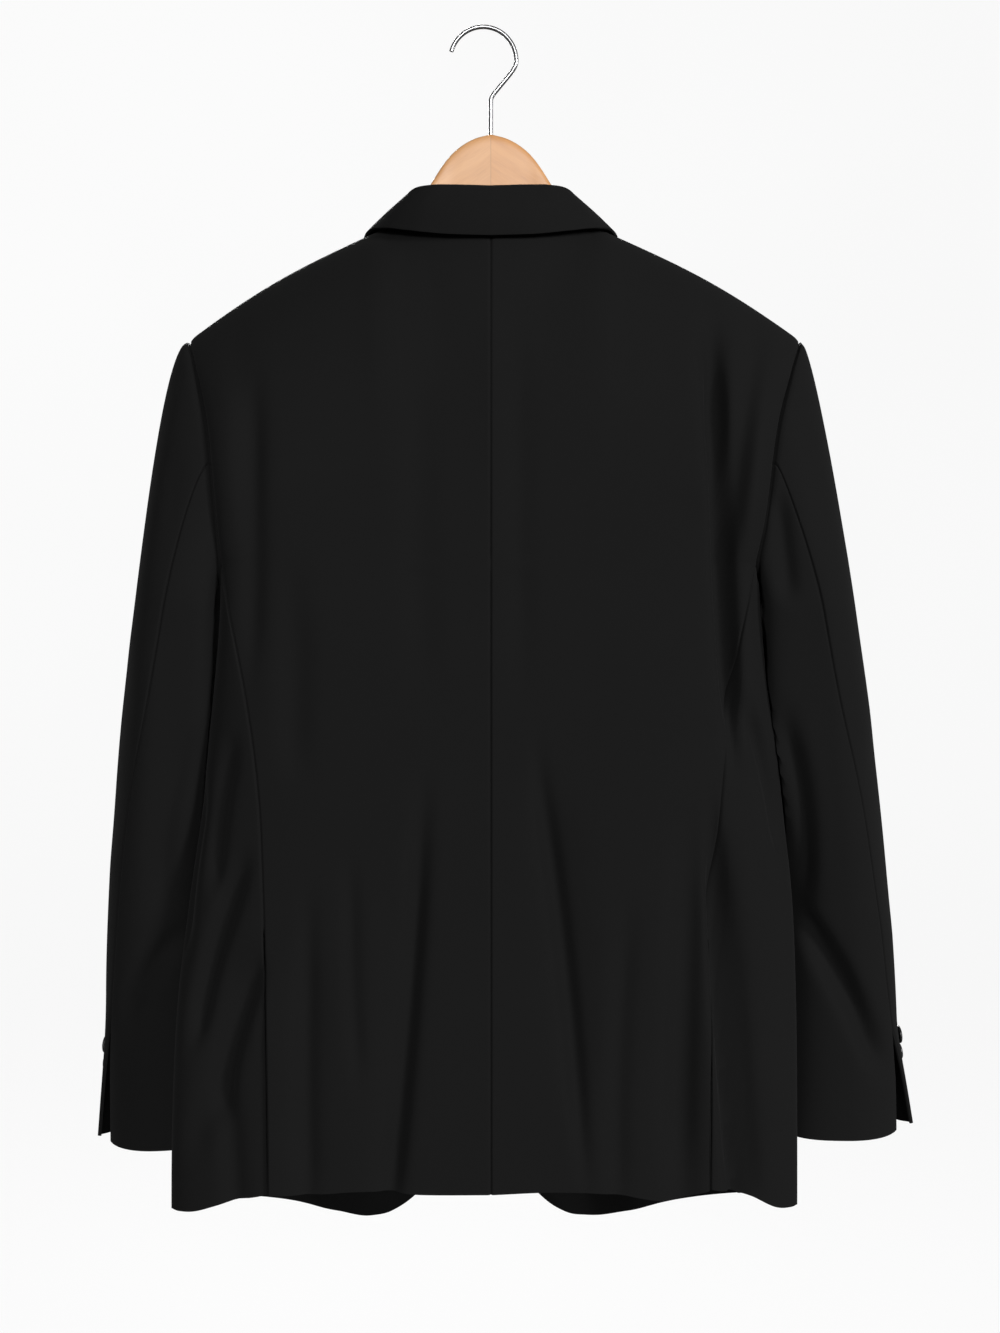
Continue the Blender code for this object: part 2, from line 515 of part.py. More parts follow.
def material(look):
    name, colour, roughness, metallic = look
    if name in bpy.data.materials:
        return bpy.data.materials[name]
    made = bpy.data.materials.new(name)
    made.use_nodes = True
    shader = made.node_tree.nodes["Principled BSDF"]
    shader.inputs["Base Color"].default_value = (*colour, 1)
    shader.inputs["Roughness"].default_value = roughness
    shader.inputs["Metallic"].default_value = metallic
    return made


def add_object(name, shape, look):
    """Turns a bmesh into a named object with its faces pointing out."""
    bmesh.ops.recalc_face_normals(shape, faces=shape.faces)
    mesh = bpy.data.meshes.new(name)
    shape.to_mesh(mesh)
    shape.free()
    made = bpy.data.objects.new(name, mesh)
    mesh.materials.append(material(look))
    bpy.context.scene.collection.objects.link(made)
    return made


def add_wall(name, outer, inner, look):
    """A closed wall between two grids of points, rows across and columns up."""
    columns, rows = outer.shape[:2]
    shape = bmesh.new()
    bmesh.ops.create_grid(shape, x_segments=columns - 1, y_segments=rows - 1, size=1)
    shape.verts.ensure_lookup_table()
    order = sorted(shape.verts, key=lambda vert: (round(vert.co.x, 5), round(vert.co.y, 5)))
    front = {}
    for vert, place, behind in zip(order, outer.reshape(-1, 3), inner.reshape(-1, 3)):
        vert.co = place
        front[tuple(vert.co)] = behind
    made = bmesh.ops.extrude_face_region(shape, geom=shape.faces[:], use_keep_orig=True)
    for item in made["geom"]:
        if isinstance(item, bmesh.types.BMVert):
            item.co = front[tuple(item.co)]
    return add_object(name, shape, look)


def panel(surface, columns, rows, flip):
    """A panel's points and normals on a surface, for its columns and rows."""
    s, v = np.meshgrid(np.asarray(columns, float), np.asarray(rows, float), indexing="ij")
    normals = normals_of(surface, s, v, flip)
    return {"columns": s[:, 0], "rows": v[0], "points": surface(s, v), "normals": normals}


def add_panel(name, piece, look):
    points = off_seams(piece["points"])
    return add_wall(name, points, points - piece["normals"] * CLOTH, look)


def on_panel(piece, s, v):
    """Points and normals at any place on a panel, between its own points."""
    i = np.clip(np.searchsorted(piece["columns"], s, "right") - 1, 0, len(piece["columns"]) - 2)
    j = np.clip(np.searchsorted(piece["rows"], v, "right") - 1, 0, len(piece["rows"]) - 2)
    a = ((s - piece["columns"][i]) / (piece["columns"][i + 1] - piece["columns"][i]))[..., None]
    b = ((v - piece["rows"][j]) / (piece["rows"][j + 1] - piece["rows"][j]))[..., None]
    found = []
    for grid in (piece["points"], piece["normals"]):
        found.append((1 - a) * (1 - b) * grid[i, j] + a * (1 - b) * grid[i + 1, j]
                     + (1 - a) * b * grid[i, j + 1] + a * b * grid[i + 1, j + 1])
    return found[0], unit(found[1])


def add_laid(name, piece, s, v, lift, thickness, look):
    """A piece that lies on a panel, made from the panel's points moved out."""
    points, normals = on_panel(piece, s, v)
    return add_wall(name, points + normals * (lift + thickness), points + normals * lift, look)


def build_body(side):
    name = SIDE_NAMES[side]
    lower = np.linspace(0, 1, LOWER_ROWS + 1)
    back_rows = np.concatenate([lower, 1 + np.linspace(0, 1, BACK_STEPS + 1)[1:]])
    front_rows = np.concatenate([lower, 1 + np.linspace(0, 1, FRONT_STEPS + 1)[1:]])
    along = shoulder_point(np.array(1.0), side) - shoulder_point(np.array(0.0), side)
    ridge = unit(np.cross(along, np.array([0, side, 0])))

    back = panel(lambda s, v: back_surface(s, v, side), BACK_COLUMNS, back_rows, -side)
    back["normals"][0, :, 0] = 0
    back["normals"][back["columns"] >= NECK_SHARE, -1] = ridge
    back["normals"][-1, LOWER_ROWS:] = armhole_normal(BACK_CORNER * (2 - back_rows[LOWER_ROWS:]), side)
    add_panel(f"back_{name}", back, WOOL)

    flank = panel(lambda s, v: side_surface(s, v, side), np.linspace(0, 1, SIDE_STEPS + 1), lower, -side)
    rim = BACK_CORNER + (FRONT_CORNER - BACK_CORNER) * flank["columns"]
    flank["normals"][:, -1] = armhole_normal(rim, side)
    flank["points"][:, -1, 0] -= side * SEAM_GAP / 2
    add_panel(f"side_{name}", flank, WOOL)

    front = panel(lambda s, v: front_surface(s, v, side), FRONT_COLUMNS, front_rows, side)
    front["normals"][:, -1] = ridge
    turns = FRONT_CORNER + (2 * math.pi - FRONT_CORNER) * (front_rows[LOWER_ROWS:] - 1)
    front["normals"][-1, LOWER_ROWS:] = armhole_normal(turns, side)
    add_panel(f"front_{name}", front, WOOL)
    add_underlap(back, side)
    return front


def add_underlap(back, side):
    """The strip of the side body that lies behind the edge of the back at the vent."""
    s, v = np.meshgrid(np.linspace(*UNDERLAP_SHARES, 4), np.linspace(*UNDERLAP_HEIGHTS, 9), indexing="ij")
    add_laid(f"vent_underlap_{SIDE_NAMES[side]}", back, s, v, -2 * CLOTH - UNDERLAP_GAP, CLOTH, WOOL)


def add_lapel(front, side):
    """A peaked lapel on the front: q runs from the roll line out, r from the button up to the gorge."""
    q, r = np.meshgrid(LAPEL_TOP["share"], np.linspace(0, 1, LAPEL_ROWS + 1), indexing="ij")
    top = np.interp(q, LAPEL_TOP["share"], LAPEL_TOP["height"])
    s = q * smooth(r, LAPEL_EDGE["share"], LAPEL_EDGE["reach"])
    v = LAPEL_START + r * (top - LAPEL_START)
    add_laid(f"lapel_{SIDE_NAMES[side]}", front, s, v, LAPEL_LIFT, CLOTH, SATIN)


def add_pockets(fronts):
    for side, front in fronts.items():
        s, v = np.meshgrid(JET["shares"], JET["heights"], indexing="ij")
        add_laid(f"pocket_jet_{SIDE_NAMES[side]}", front, s, v, BUTTON_LIFT, JET["thickness"], SATIN)
    s, v = np.meshgrid(WELT["shares"], WELT["heights"], indexing="ij")
    v = v + WELT["slant"] * (s - WELT["shares"][0])
    add_laid("breast_welt", fronts[LEFT], s, v, LAPEL_LIFT, WELT["thickness"], SATIN)


def add_button(name, centre, outward, button):
    """A round button with softened rims, its back just off the cloth."""
    radius, thickness = button["radius"], button["thickness"]
    shape = bmesh.new()
    bmesh.ops.create_cone(shape, cap_ends=True, segments=button["sides"], radius1=radius, radius2=radius,
                          depth=thickness)
    rims = [edge for edge in shape.edges if abs(edge.verts[0].co.z - edge.verts[1].co.z) < 1e-6]
    bmesh.ops.bevel(shape, geom=rims, offset=thickness * BUTTON_SOFTNESS, segments=1, affect="EDGES",
                    profile=0.5, material=-1)
    made = add_object(name, shape, SATIN)
    made.rotation_mode = "QUATERNION"
    made.rotation_quaternion = Vector(outward).to_track_quat("Z", "Y")
    made.location = centre + outward * (BUTTON_LIFT + thickness / 2)


def build_sleeve(side):
    name = SIDE_NAMES[side]
    rows = np.concatenate([CAP_ROWS, 1 + np.linspace(0, 1, SLEEVE_ROWS + 1)[1:]])
    pieces = {}
    for under, steps in ((False, TOP_STEPS), (True, UNDER_STEPS)):
        flip = side * (-1 if under else 1)
        columns = np.linspace(0, 1, steps + 1)
        piece = panel(lambda q, v: sleeve_surface(q, v, side, under), columns, rows, flip)
        span = UNDER_TURN if under else TOP_TURN
        turns = SLEEVE_BACK_TURN + (span - SLEEVE_BACK_TURN) * piece["columns"]
        piece["normals"][:, 0] = armhole_normal(turns, side)
        piece["points"][:, 0, 0] += side * SEAM_GAP / 2
        add_panel(f"{'under' if under else 'top'}_sleeve_{name}", piece, WOOL)
        pieces[under] = piece
    for k in range(CUFF_BUTTONS):
        height = CUFF_BUTTON_HEIGHT - k * CUFF_BUTTON_STEP
        point, normal = on_panel(pieces[False], np.array(CUFF_BUTTON_SHARE), np.array(height))
        add_button(f"cuff_button_{name}_{k + 1}", point, normal, CUFF_BUTTON)


def build_collar():
    piece = panel(collar_surface, np.linspace(0, 1, COLLAR_COLUMNS + 1), COLLAR_ROWS, 1)
    points = piece["points"]
    add_wall("collar", points, points - piece["normals"] * CLOTH, WOOL)


def build_hanger():
    """The wooden hanger: a smooth section swept from one tip to the other."""
    half = np.concatenate([np.linspace(0, HEAD_END, 9), np.linspace(HEAD_END, ARM_START, 4)[1:],
                           np.linspace(ARM_START, ARM_END, 6)[1:], HANGER["x"][-2:]])
    across = np.concatenate([-half[:0:-1], half])
    rings = []
    for x in across:
        y, z, thickness, height, power = (float(smooth(abs(x), HANGER["x"], HANGER[key]))
                                          for key in ("y", "z", "thickness", "height", "power"))
        turn = np.linspace(0, 2 * math.pi, HANGER_SIDES, endpoint=False)
        cos, sin = np.cos(turn), np.sin(turn)
        reach = (np.abs(cos) ** power + np.abs(sin) ** power) ** (-1 / power)
        rings.append(stack(x, y + thickness / 2 * reach * cos, z - height / 2 + height / 2 * reach * sin))
    wood = tube_object("hanger", rings, MAPLE)
    drill = bpy.data.meshes.new("stem_hole")
    shape = bmesh.new()
    bmesh.ops.create_cone(shape, cap_ends=True, segments=12, radius1=STEM_HOLE_RADIUS,
                          radius2=STEM_HOLE_RADIUS, depth=2 * (STEM_DEPTH + SEAM_GAP))
    bmesh.ops.translate(shape, verts=shape.verts, vec=(0, 0, HANGER["z"][0]))
    shape.to_mesh(drill)
    shape.free()
    cutter = bpy.data.objects.new("stem_hole", drill)
    bpy.context.scene.collection.objects.link(cutter)
    cut = wood.modifiers.new("stem hole", "BOOLEAN")
    cut.operation = "DIFFERENCE"
    cut.object = cutter
    bpy.context.view_layer.update()
    solid = bpy.data.meshes.new_from_object(wood.evaluated_get(bpy.context.evaluated_depsgraph_get()))
    wood.modifiers.clear()
    wood.data = solid
    bpy.data.objects.remove(cutter)


def tube_object(name, rings, look):
    """Joins rings of points into a closed tube with flat ends."""
    shape = bmesh.new()
    loops = [[shape.verts.new(point) for point in ring] for ring in rings]
    for first, second in zip(loops, loops[1:]):
        for k in range(len(first)):
            following = (k + 1) % len(first)
            shape.faces.new((first[k], first[following], second[following], second[k]))
    shape.faces.new(loops[0])
    shape.faces.new(loops[-1][::-1])
    return add_object(name, shape, look)


def build_hook():
    """The wire hook: an arc over the peg, a swan neck, and a straight stem in the wood."""
    middle = np.array([HOOK_MIDDLE_X, -math.sqrt((HOOK_RADIUS - WIRE_RADIUS) ** 2 - HOOK_MIDDLE_X ** 2)])
    turns = np.radians(np.linspace(*HOOK_TURNS, HOOK_STEPS))
    route = [middle + HOOK_RADIUS * np.stack([np.cos(turns), np.sin(turns)], -1)]
    ahead = np.array([-math.sin(turns[-1]), math.cos(turns[-1])])
    t = np.linspace(0, 1, NECK_STEPS + 1)[1:]
    for x, z, ahead_x, ahead_z in zip(*HOOK_NECK.values()):
        start, end, following = route[-1][-1], np.array([x, z]), np.array([ahead_x, ahead_z])
        reach = math.dist(start, end)
        route.append(blend_curve(start, ahead * reach, end, following * reach, t))
        ahead = following
    route.append(np.array([[0.0, HANGER["z"][0] - STEM_DEPTH]]))
    route = np.concatenate(route)
    ahead = unit(np.gradient(route, axis=0))
    square = np.stack([-ahead[:, 1], ahead[:, 0]], -1)
    rings = []
    for (x, z), (side_x, side_z) in zip(route, square):
        turn = np.linspace(0, 2 * math.pi, WIRE_SIDES, endpoint=False)
        reach = WIRE_RADIUS * np.cos(turn)
        rings.append(stack(x + reach * side_x, WIRE_RADIUS * np.sin(turn), z + reach * side_z))
    tube_object("hook", rings, STEEL)


def main():
    for old in list(bpy.data.objects):
        bpy.data.objects.remove(old)
    fronts = {side: build_body(side) for side in (LEFT, RIGHT)}
    for side, front in fronts.items():
        add_lapel(front, side)
        build_sleeve(side)
    add_pockets(fronts)
    point, normal = on_panel(fronts[LEFT], np.array(BUTTON_SHARE), np.array(BUTTON_HEIGHT))
    add_button("front_button", point, normal, FRONT_BUTTON)
    build_collar()
    build_hanger()
    build_hook()


main()
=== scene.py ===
import math

import bmesh
import bpy
import numpy as np
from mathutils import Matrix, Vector


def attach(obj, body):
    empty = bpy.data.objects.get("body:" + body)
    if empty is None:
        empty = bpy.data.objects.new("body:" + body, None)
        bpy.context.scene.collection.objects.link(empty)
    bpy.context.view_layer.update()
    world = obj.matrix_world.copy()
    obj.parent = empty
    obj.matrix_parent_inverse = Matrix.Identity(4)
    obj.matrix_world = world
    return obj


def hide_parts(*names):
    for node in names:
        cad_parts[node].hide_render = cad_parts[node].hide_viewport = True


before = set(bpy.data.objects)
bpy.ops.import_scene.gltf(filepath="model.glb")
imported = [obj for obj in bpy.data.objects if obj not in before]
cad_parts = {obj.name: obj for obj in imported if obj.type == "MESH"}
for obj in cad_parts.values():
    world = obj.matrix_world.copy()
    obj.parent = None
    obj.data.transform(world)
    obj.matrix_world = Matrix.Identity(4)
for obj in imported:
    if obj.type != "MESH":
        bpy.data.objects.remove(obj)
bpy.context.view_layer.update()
print("frame loaded:", len(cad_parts), "nodes")

left, right = 1, -1
sideNames = {left: "Left", right: "Right"}


# Camera, backdrop and lights

view = {"location": (-0.0072, 1.242, -0.4203), "tilt": -3.68, "lens": 41.75, "sensor": 36}
backdrop = {"radius": 4.5, "floor": -1.75, "top": 3.5, "bend": 3.2, "sides": 96, "steps": 12,
            "colour": (0.02,) * 3, "glow": (0.91,) * 3, "shade": 0.97}
suns = [
    {"name": "keyLight", "from": (-0.1, 1.0, 0.22), "softness": 14, "power": 2.9},
    {"name": "sideLight", "from": (-1.0, 0.8, 0.25), "softness": 12, "power": 2.3},
    {"name": "frontLight", "from": (0.1, -1.0, 0.35), "softness": 20, "power": 3.6},
]
world = {"colour": (0.95,) * 3, "strength": 0.2}


def place(name, data):
    made = bpy.data.objects.new(name, data)
    bpy.context.scene.collection.objects.link(made)
    return made


def addCamera():
    data = bpy.data.cameras.new("camera")
    data.sensor_width = view["sensor"]
    data.lens = view["lens"]
    made = place("camera", data)
    made.location = view["location"]
    made.rotation_euler = (math.radians(90 + view["tilt"]), 0, math.radians(180))
    bpy.context.scene.camera = made


def addSun(sun):
    data = bpy.data.lights.new(sun["name"], "SUN")
    data.energy = sun["power"]
    data.angle = math.radians(sun["softness"])
    made = place(sun["name"], data)
    made.rotation_euler = Vector(sun["from"]).to_track_quat("Z", "Y").to_euler()


# Shader arithmetic: a wrapped socket adds Math nodes for + - * and powers

class Wire:
    def __init__(self, look, socket):
        self.look = look
        self.socket = socket

    def math(self, operation, first, second):
        return self.look.node("Math", {"operation": operation}, {0: first, 1: second})

    def __add__(self, other):
        return self.math("ADD", self, other)

    def __radd__(self, other):
        return self.math("ADD", other, self)

    def __sub__(self, other):
        return self.math("SUBTRACT", self, other)

    def __rsub__(self, other):
        return self.math("SUBTRACT", other, self)

    def __mul__(self, other):
        return self.math("MULTIPLY", self, other)

    def __rmul__(self, other):
        return self.math("MULTIPLY", other, self)

    def __pow__(self, other):
        return self.math("POWER", self, other)


class Look:
    def __init__(self, name, **constants):
        self.material = bpy.data.materials.new(name)
        self.material.use_nodes = True
        self.tree = self.material.node_tree
        self.principled = self.tree.nodes["Principled BSDF"]
        self.shade(**constants)

    def node(self, kind, settings=None, sockets=None, output=0):
        made = self.tree.nodes.new("ShaderNode" + kind)
        for key, value in (settings or {}).items():
            if key == "stops":
                self.setStops(made.color_ramp, value)
            else:
                setattr(made, key, value)
        for key, value in (sockets or {}).items():
            self.feed(made.inputs[key], value)
        return Wire(self, made.outputs[output])

    def setStops(self, ramp, stops):
        while len(ramp.elements) < len(stops):
            ramp.elements.new(1.0)
        for element, (position, colour) in zip(ramp.elements, stops):
            element.position = position
            element.color = (*colour, 1)

    def feed(self, socket, value):
        if isinstance(value, Wire):
            self.tree.links.new(value.socket, socket)
        else:
            socket.default_value = value

    def shade(self, **wires):
        for key, value in wires.items():
            self.feed(self.principled.inputs[key.replace("_", " ")], value)
        return self.material


def mixed(look, share, first, second, blend="MIX"):  # a colour between two colours or wires
    ends = [end if isinstance(end, Wire) else (*end, 1) for end in (first, second)]
    return look.node("Mix", {"data_type": "RGBA", "blend_type": blend}, {0: share, 6: ends[0], 7: ends[1]}, 2)


def noise(look, spot, scale, detail, rough=0.5):
    return look.node("TexNoise", {}, {"Vector": spot, "Scale": scale, "Detail": detail, "Roughness": rough})


def bumped(look, strength, distance, height):
    return look.node("Bump", {}, {"Strength": strength, "Distance": distance, "Height": height})


def wave(look, at, length):
    return look.node("Math", {"operation": "SINE"}, {0: at * (2 * math.pi / length)})


wool = {"dark": (0.0036,) * 3, "light": (0.006,) * 3, "thread": 0.0006, "bump": 0.25,
        "fuzz": 1400.0, "cloud": 9.0, "roughness": 0.78}
satin = {"dark": (0.0034, 0.0034, 0.0036), "light": (0.0056, 0.0056, 0.006), "thread": 0.0005, "slub": 260.0,
         "roughness": 0.3, "gloss": 0.5}
# Colour of the inside faces: the lining's near-black, set darker than the wool as painted shade for the
# jacket's shaded inside
lining = {"dark": (0.001,) * 3, "light": (0.0018,) * 3, "thread": 0.0005,
          "slub": 260.0, "roughness": 0.55, "gloss": 0.03}
maple = {"light": (0.47, 0.253, 0.113), "middle": (0.415, 0.21, 0.086), "dark": (0.29, 0.13, 0.048),
         "warm": (0.97, 0.92, 0.84), "slope": 34, "grain": (14, 90, 4.0, 0.6), "fleck": (90, 900, 2.0, 0.5),
         "otherHalf": (3.7, 1.3), "stops": (0.22, 0.42, 0.62), "glue": 0.0003, "glueDark": 0.75,
         "roughness": 0.42}
steel = {"colour": (0.3, 0.3, 0.305), "dark": (0.2, 0.2, 0.205), "streak": 700.0, "roughness": 0.25}


def makeWool():
    look = Look("wool", Specular_IOR_Level=0.07, Sheen_Weight=0.01, Sheen_Roughness=0.5)
    spot = look.node("UVMap", {"uv_map": "cloth"})
    apart = look.node("SeparateXYZ", sockets={0: spot})
    up = Wire(look, apart.socket.node.outputs[1])
    twill = wave(look, apart + up, wool["thread"]) * 0.5 + 0.5
    fuzz = noise(look, spot, wool["fuzz"], 2.0, 0.6)
    cloud = noise(look, spot, wool["cloud"], 3.0, 0.55)
    colour = mixed(look, twill * 0.3 + fuzz * 0.4 + cloud * 0.3, wool["dark"], wool["light"])
    bump = bumped(look, wool["bump"], 0.0002, twill * 0.5 + fuzz)
    return look.shade(Base_Color=colour, Normal=bump, Roughness=fuzz * 0.15 + wool["roughness"])


def makeSmooth(name, weave):
    look = Look(name, Specular_IOR_Level=weave["gloss"])
    spot = look.node("UVMap", {"uv_map": "cloth"})
    apart = look.node("SeparateXYZ", sockets={0: spot})
    warp = wave(look, apart, weave["thread"])
    slub = noise(look, spot, weave["slub"], 3.0, 0.6)
    colour = mixed(look, slub, weave["dark"], weave["light"])
    bump = bumped(look, 0.15, 0.0001, warp * 0.4 + slub)
    return look.shade(Base_Color=colour, Normal=bump, Roughness=slub * 0.12 + weave["roughness"])


def makeMaple():
    look = Look("maple", Coat_Roughness=0.3, Coat_Weight=0.15, Specular_IOR_Level=0.3)
    apart = look.node("SeparateXYZ", sockets={0: look.node("TexCoord", output=3)})
    depth, up = (Wire(look, apart.socket.node.outputs[axis]) for axis in (1, 2))
    out = look.node("Math", {"operation": "ABSOLUTE"}, {0: apart})
    half = look.node("Math", {"operation": "GREATER_THAN"}, {0: apart, 1: 0.0})
    cos, sin = math.cos(math.radians(maple["slope"])), math.sin(math.radians(maple["slope"]))
    shift = maple["otherHalf"]  # each half of the hanger is cut from other wood
    along = out * cos - up * sin + half * shift[0]
    across = out * sin + up * cos + half * shift[1]
    textures = []
    for run, thick, detail, roughness in (maple["grain"], maple["fleck"]):
        spot = look.node("CombineXYZ", sockets={0: along * run, 1: depth * thick, 2: across * thick})
        textures.append(noise(look, spot, 1.0, detail, roughness))
    broad, fleck = textures
    stops = zip(maple["stops"], (maple["dark"], maple["middle"], maple["light"]))
    colour = look.node("ValToRGB", {"stops": list(stops)}, {0: broad * 0.7 + fleck * 0.3})
    colour = mixed(look, 1.0 - half, colour, maple["warm"], "MULTIPLY")
    glue = look.node("Math", {"operation": "LESS_THAN"}, {0: out, 1: maple["glue"]})
    colour = mixed(look, glue, colour, (maple["glueDark"],) * 3, "MULTIPLY")
    bump = bumped(look, 0.15, 0.0002, fleck - glue)
    return look.shade(Base_Color=colour, Normal=bump, Roughness=fleck * 0.15 + maple["roughness"])


def makeSteel():
    look = Look("steel", Metallic=1.0)
    streak = noise(look, look.node("TexCoord", output=3), steel["streak"], 2.0)
    colour = mixed(look, streak, steel["dark"], steel["colour"])
    return look.shade(Base_Color=colour, Roughness=streak * 0.08 + steel["roughness"])


def makePale():
    look = Look("pale", Roughness=0.9, Emission_Strength=1.0, Base_Color=(*backdrop["colour"], 1))
    cloud = noise(look, look.node("TexCoord", output=3), 0.6, 2.0)
    low = [value * backdrop["shade"] for value in backdrop["glow"]]
    return look.shade(Emission_Color=mixed(look, cloud, low, backdrop["glow"]))


looks = {
    "wool": makeWool(), "satin": makeSmooth("satin", satin), "lining": makeSmooth("lining", lining),
    "maple": makeMaple(), "steel": makeSteel(), "pale": makePale(),
}
print("materials made:", len(looks))


def addBackdrop():
    shape = bmesh.new()
    bmesh.ops.create_circle(shape, segments=backdrop["sides"], radius=backdrop["radius"] - backdrop["bend"])
    bmesh.ops.contextual_create(shape, geom=shape.edges[:])
    bmesh.ops.translate(shape, verts=shape.verts, vec=(0, 0, backdrop["floor"]))
    rim = [edge for edge in shape.edges if edge.is_boundary]
    steps = backdrop["steps"]
    for k in range(steps + 1):
        made = bmesh.ops.extrude_edge_only(shape, edges=rim)
        rim = [item for item in made["geom"] if isinstance(item, bmesh.types.BMEdge)]
        turn = math.pi / 2 * min(k + 1, steps) / steps
        radius = backdrop["radius"] - backdrop["bend"] * (1 - math.sin(turn))
        curve = backdrop["floor"] + backdrop["bend"] * (1 - math.cos(turn))
        height = curve if k < steps else backdrop["top"]
        for item in made["geom"]:
            if isinstance(item, bmesh.types.BMVert):
                spread = radius / math.hypot(item.co.x, item.co.y)
                item.co = (item.co.x * spread, item.co.y * spread, height)
    bmesh.ops.recalc_face_normals(shape, faces=shape.faces)
    bmesh.ops.reverse_faces(shape, faces=shape.faces)
    mesh = bpy.data.meshes.new("backdrop")
    shape.to_mesh(mesh)
    shape.free()
    mesh.materials.append(looks["pale"])
    mesh.shade_smooth()
    made = place("backdrop", mesh)
    # The suns and the studio's even light come in through it
    made.visible_shadow = made.visible_diffuse = made.visible_glossy = False


addCamera()
addBackdrop()
for sun in suns:
    addSun(sun)
sky = bpy.data.worlds.new("studio")
sky.use_nodes = True
shine = sky.node_tree.nodes["Background"].inputs
shine["Color"].default_value = (*world["colour"], 1)
shine["Strength"].default_value = world["strength"]
bpy.context.scene.world = sky
bpy.context.scene.view_settings.view_transform = "Standard"
print("studio set")


# Shapes shared by the pieces

def table(columns, rows):  # named columns of millimetres, or of plain numbers where the name has a star
    made = {}
    for name, values in zip(columns.split(), np.array(rows, float).T):
        made[name.strip("*")] = values if "*" in name else values / 1000
    return made


def smooth(at, knots, values):  # a smooth curve through a table's rows
    at = np.asarray(at, float)
    order = np.argsort(knots)
    knots, values = knots[order], values[order]
    slopes = np.gradient(values, knots)
    i = np.clip(np.searchsorted(knots, at) - 1, 0, len(knots) - 2)
    length = knots[i + 1] - knots[i]
    u = np.clip((at - knots[i]) / length, 0, 1)
    start, rise = values[i], values[i + 1] - values[i]
    swing = u * (1 - u) * ((1 - u) * (length * slopes[i] - rise) - u * (length * slopes[i + 1] - rise))
    return start + rise * u + swing


def read(rows, at, *names):  # smooth curves through some columns of a table, along its first one
    knots = next(iter(rows.values()))
    curves = [smooth(at, knots, rows[sideNames.get(name, name)]) for name in names]
    return curves if len(names) > 1 else curves[0]


def ease(value):
    value = np.clip(value, 0, 1)
    return value * value * (3 - 2 * value)


def bell(value):
    return np.exp(-value ** 2)


def stack(*parts):
    return np.stack(np.broadcast_arrays(*parts), -1).astype(float)


def unit(vectors):
    return vectors / np.maximum(np.linalg.norm(vectors, axis=-1, keepdims=True), 1e-12)


def blendCurve(start, startSlope, end, endSlope, t):
    t = t[..., None]
    return ((2 * t ** 3 - 3 * t ** 2 + 1) * start + (t ** 3 - 2 * t ** 2 + t) * startSlope
            + (3 * t ** 2 - 2 * t ** 3) * end + (t ** 3 - t ** 2) * endSlope)


def grid(columns, rows):
    return np.meshgrid(columns, rows, indexing="ij")


def roundness(cos, sin, power):  # how far a squared-off circle reaches in one direction
    return (np.abs(cos) ** power + np.abs(sin) ** power) ** (-1 / power)


cloth = {"wall": 0.0016, "lap": 0.00045, "allowance": 0.0026, "ventGap": 0.0007, "deepest": 0.0145,
         "seamDip": 0.0014, "seamWidth": 0.0009, "armholeDip": 0.0012, "armholeWidth": 0.004,
         "armholeFoot": -0.46, "armholeFade": 0.04, "foldMargin": 0.15, "creaseMargin": 0.2, "facing": 2.5,
         "closeLines": (0.0003, 0.0006, 0.001, 0.0015, 0.0022, 0.0032)}
softEdge = {"share": 0.3, "segments": 2, "angle": 55}

# Level sections of the body, the seams' places on it, and the hems by the share of a panel's width
body = {
    "sections": table("z Left Right sideY backY frontY backPower* frontPower*", [
        (-990, 259, 248, 18, 63, -58, 3, 2.2), (-860, 256, 246, 20, 66, -60, 3, 2.2),
        (-775, 251, 244, 20, 68, -62, 3.1, 2.2), (-690, 241, 240, 18, 70, -64, 3.3, 2.4),
        (-590, 226, 229, 12, 75, -66, 3.8, 2.8), (-500, 217, 217, 8, 79, -66, 4.8, 3),
        (-410, 213, 212, 4, 78, -64, 6, 3.4),
    ]),
    "backSeam": table("z Left Right", [
        (-990, 175, 172), (-760, 175, 173), (-665, 176, 175), (-600, 178, 177), (-526, 186, 184),
        (-477, 195, 190), (-410, 209, 206),
    ]),
    "frontSeam": table("z share*", [
        (-990, 0.84), (-760, 0.86), (-600, 0.9), (-500, 0.94), (-430, 0.97),
    ]),
    "frontEdge": table("z Left Right", [
        (-990, 60, 34), (-940, 36, 14), (-880, 14, 1), (-800, -3, -7), (-700, -11, -13), (-600, -12, -14),
        (-434, 22, 20),
    ]),
    "backHem": table("share* Left Right", [
        (0, -909, -909), (0.3, -909, -907), (0.6, -907, -910), (0.8, -910, -915), (1, -911, -907),
    ]),
    "sideHem": table("share* Left Right", [
        (0, -911, -907), (0.1, -920, -915), (0.2, -929, -926), (0.3, -932, -929), (0.4, -933, -930),
        (0.6, -939, -936), (1, -946, -944),
    ]),
    "frontHem": table("share* Left Right", [
        (0, -885, -885), (0.02, -912, -912), (0.06, -938, -938), (0.12, -958, -958), (0.2, -971, -971),
        (0.3, -975, -975), (0.5, -968, -969), (0.75, -956, -956), (1, -946, -944),
    ]),
    "spine": table("z y", [
        (-420, 78.5), (-350, 77.5), (-280, 73.5), (-220, 64.5), (-158, 47),
    ]),
    "neckShare": 0.31, "sideNeck": (0.075, 0.008, -0.151), "backNeck": (0.0, 0.047, -0.158),
    "neckWindow": 0.16, "shoulderRise": 0.0066, "ventTop": -0.702, "ventLift": 0.003, "ventFrom": 0.8,
    "ventFade": 0.1, "lapDepth": 0.0056, "lapEnds": ((0.35, 0.2), (1.3, 0.3)), "slopeStep": 0.01,
    "backArrival": {"neck": (0, -0.02, 0.16), "shoulder": (0, -0.2, 0), "reach": 0.4},
    "frontArrival": {"neck": (0, 0.15, 0.05), "shoulder": (0, 0.2, 0), "reach": 0.35},
    "rimPowers": (14, 4),
}
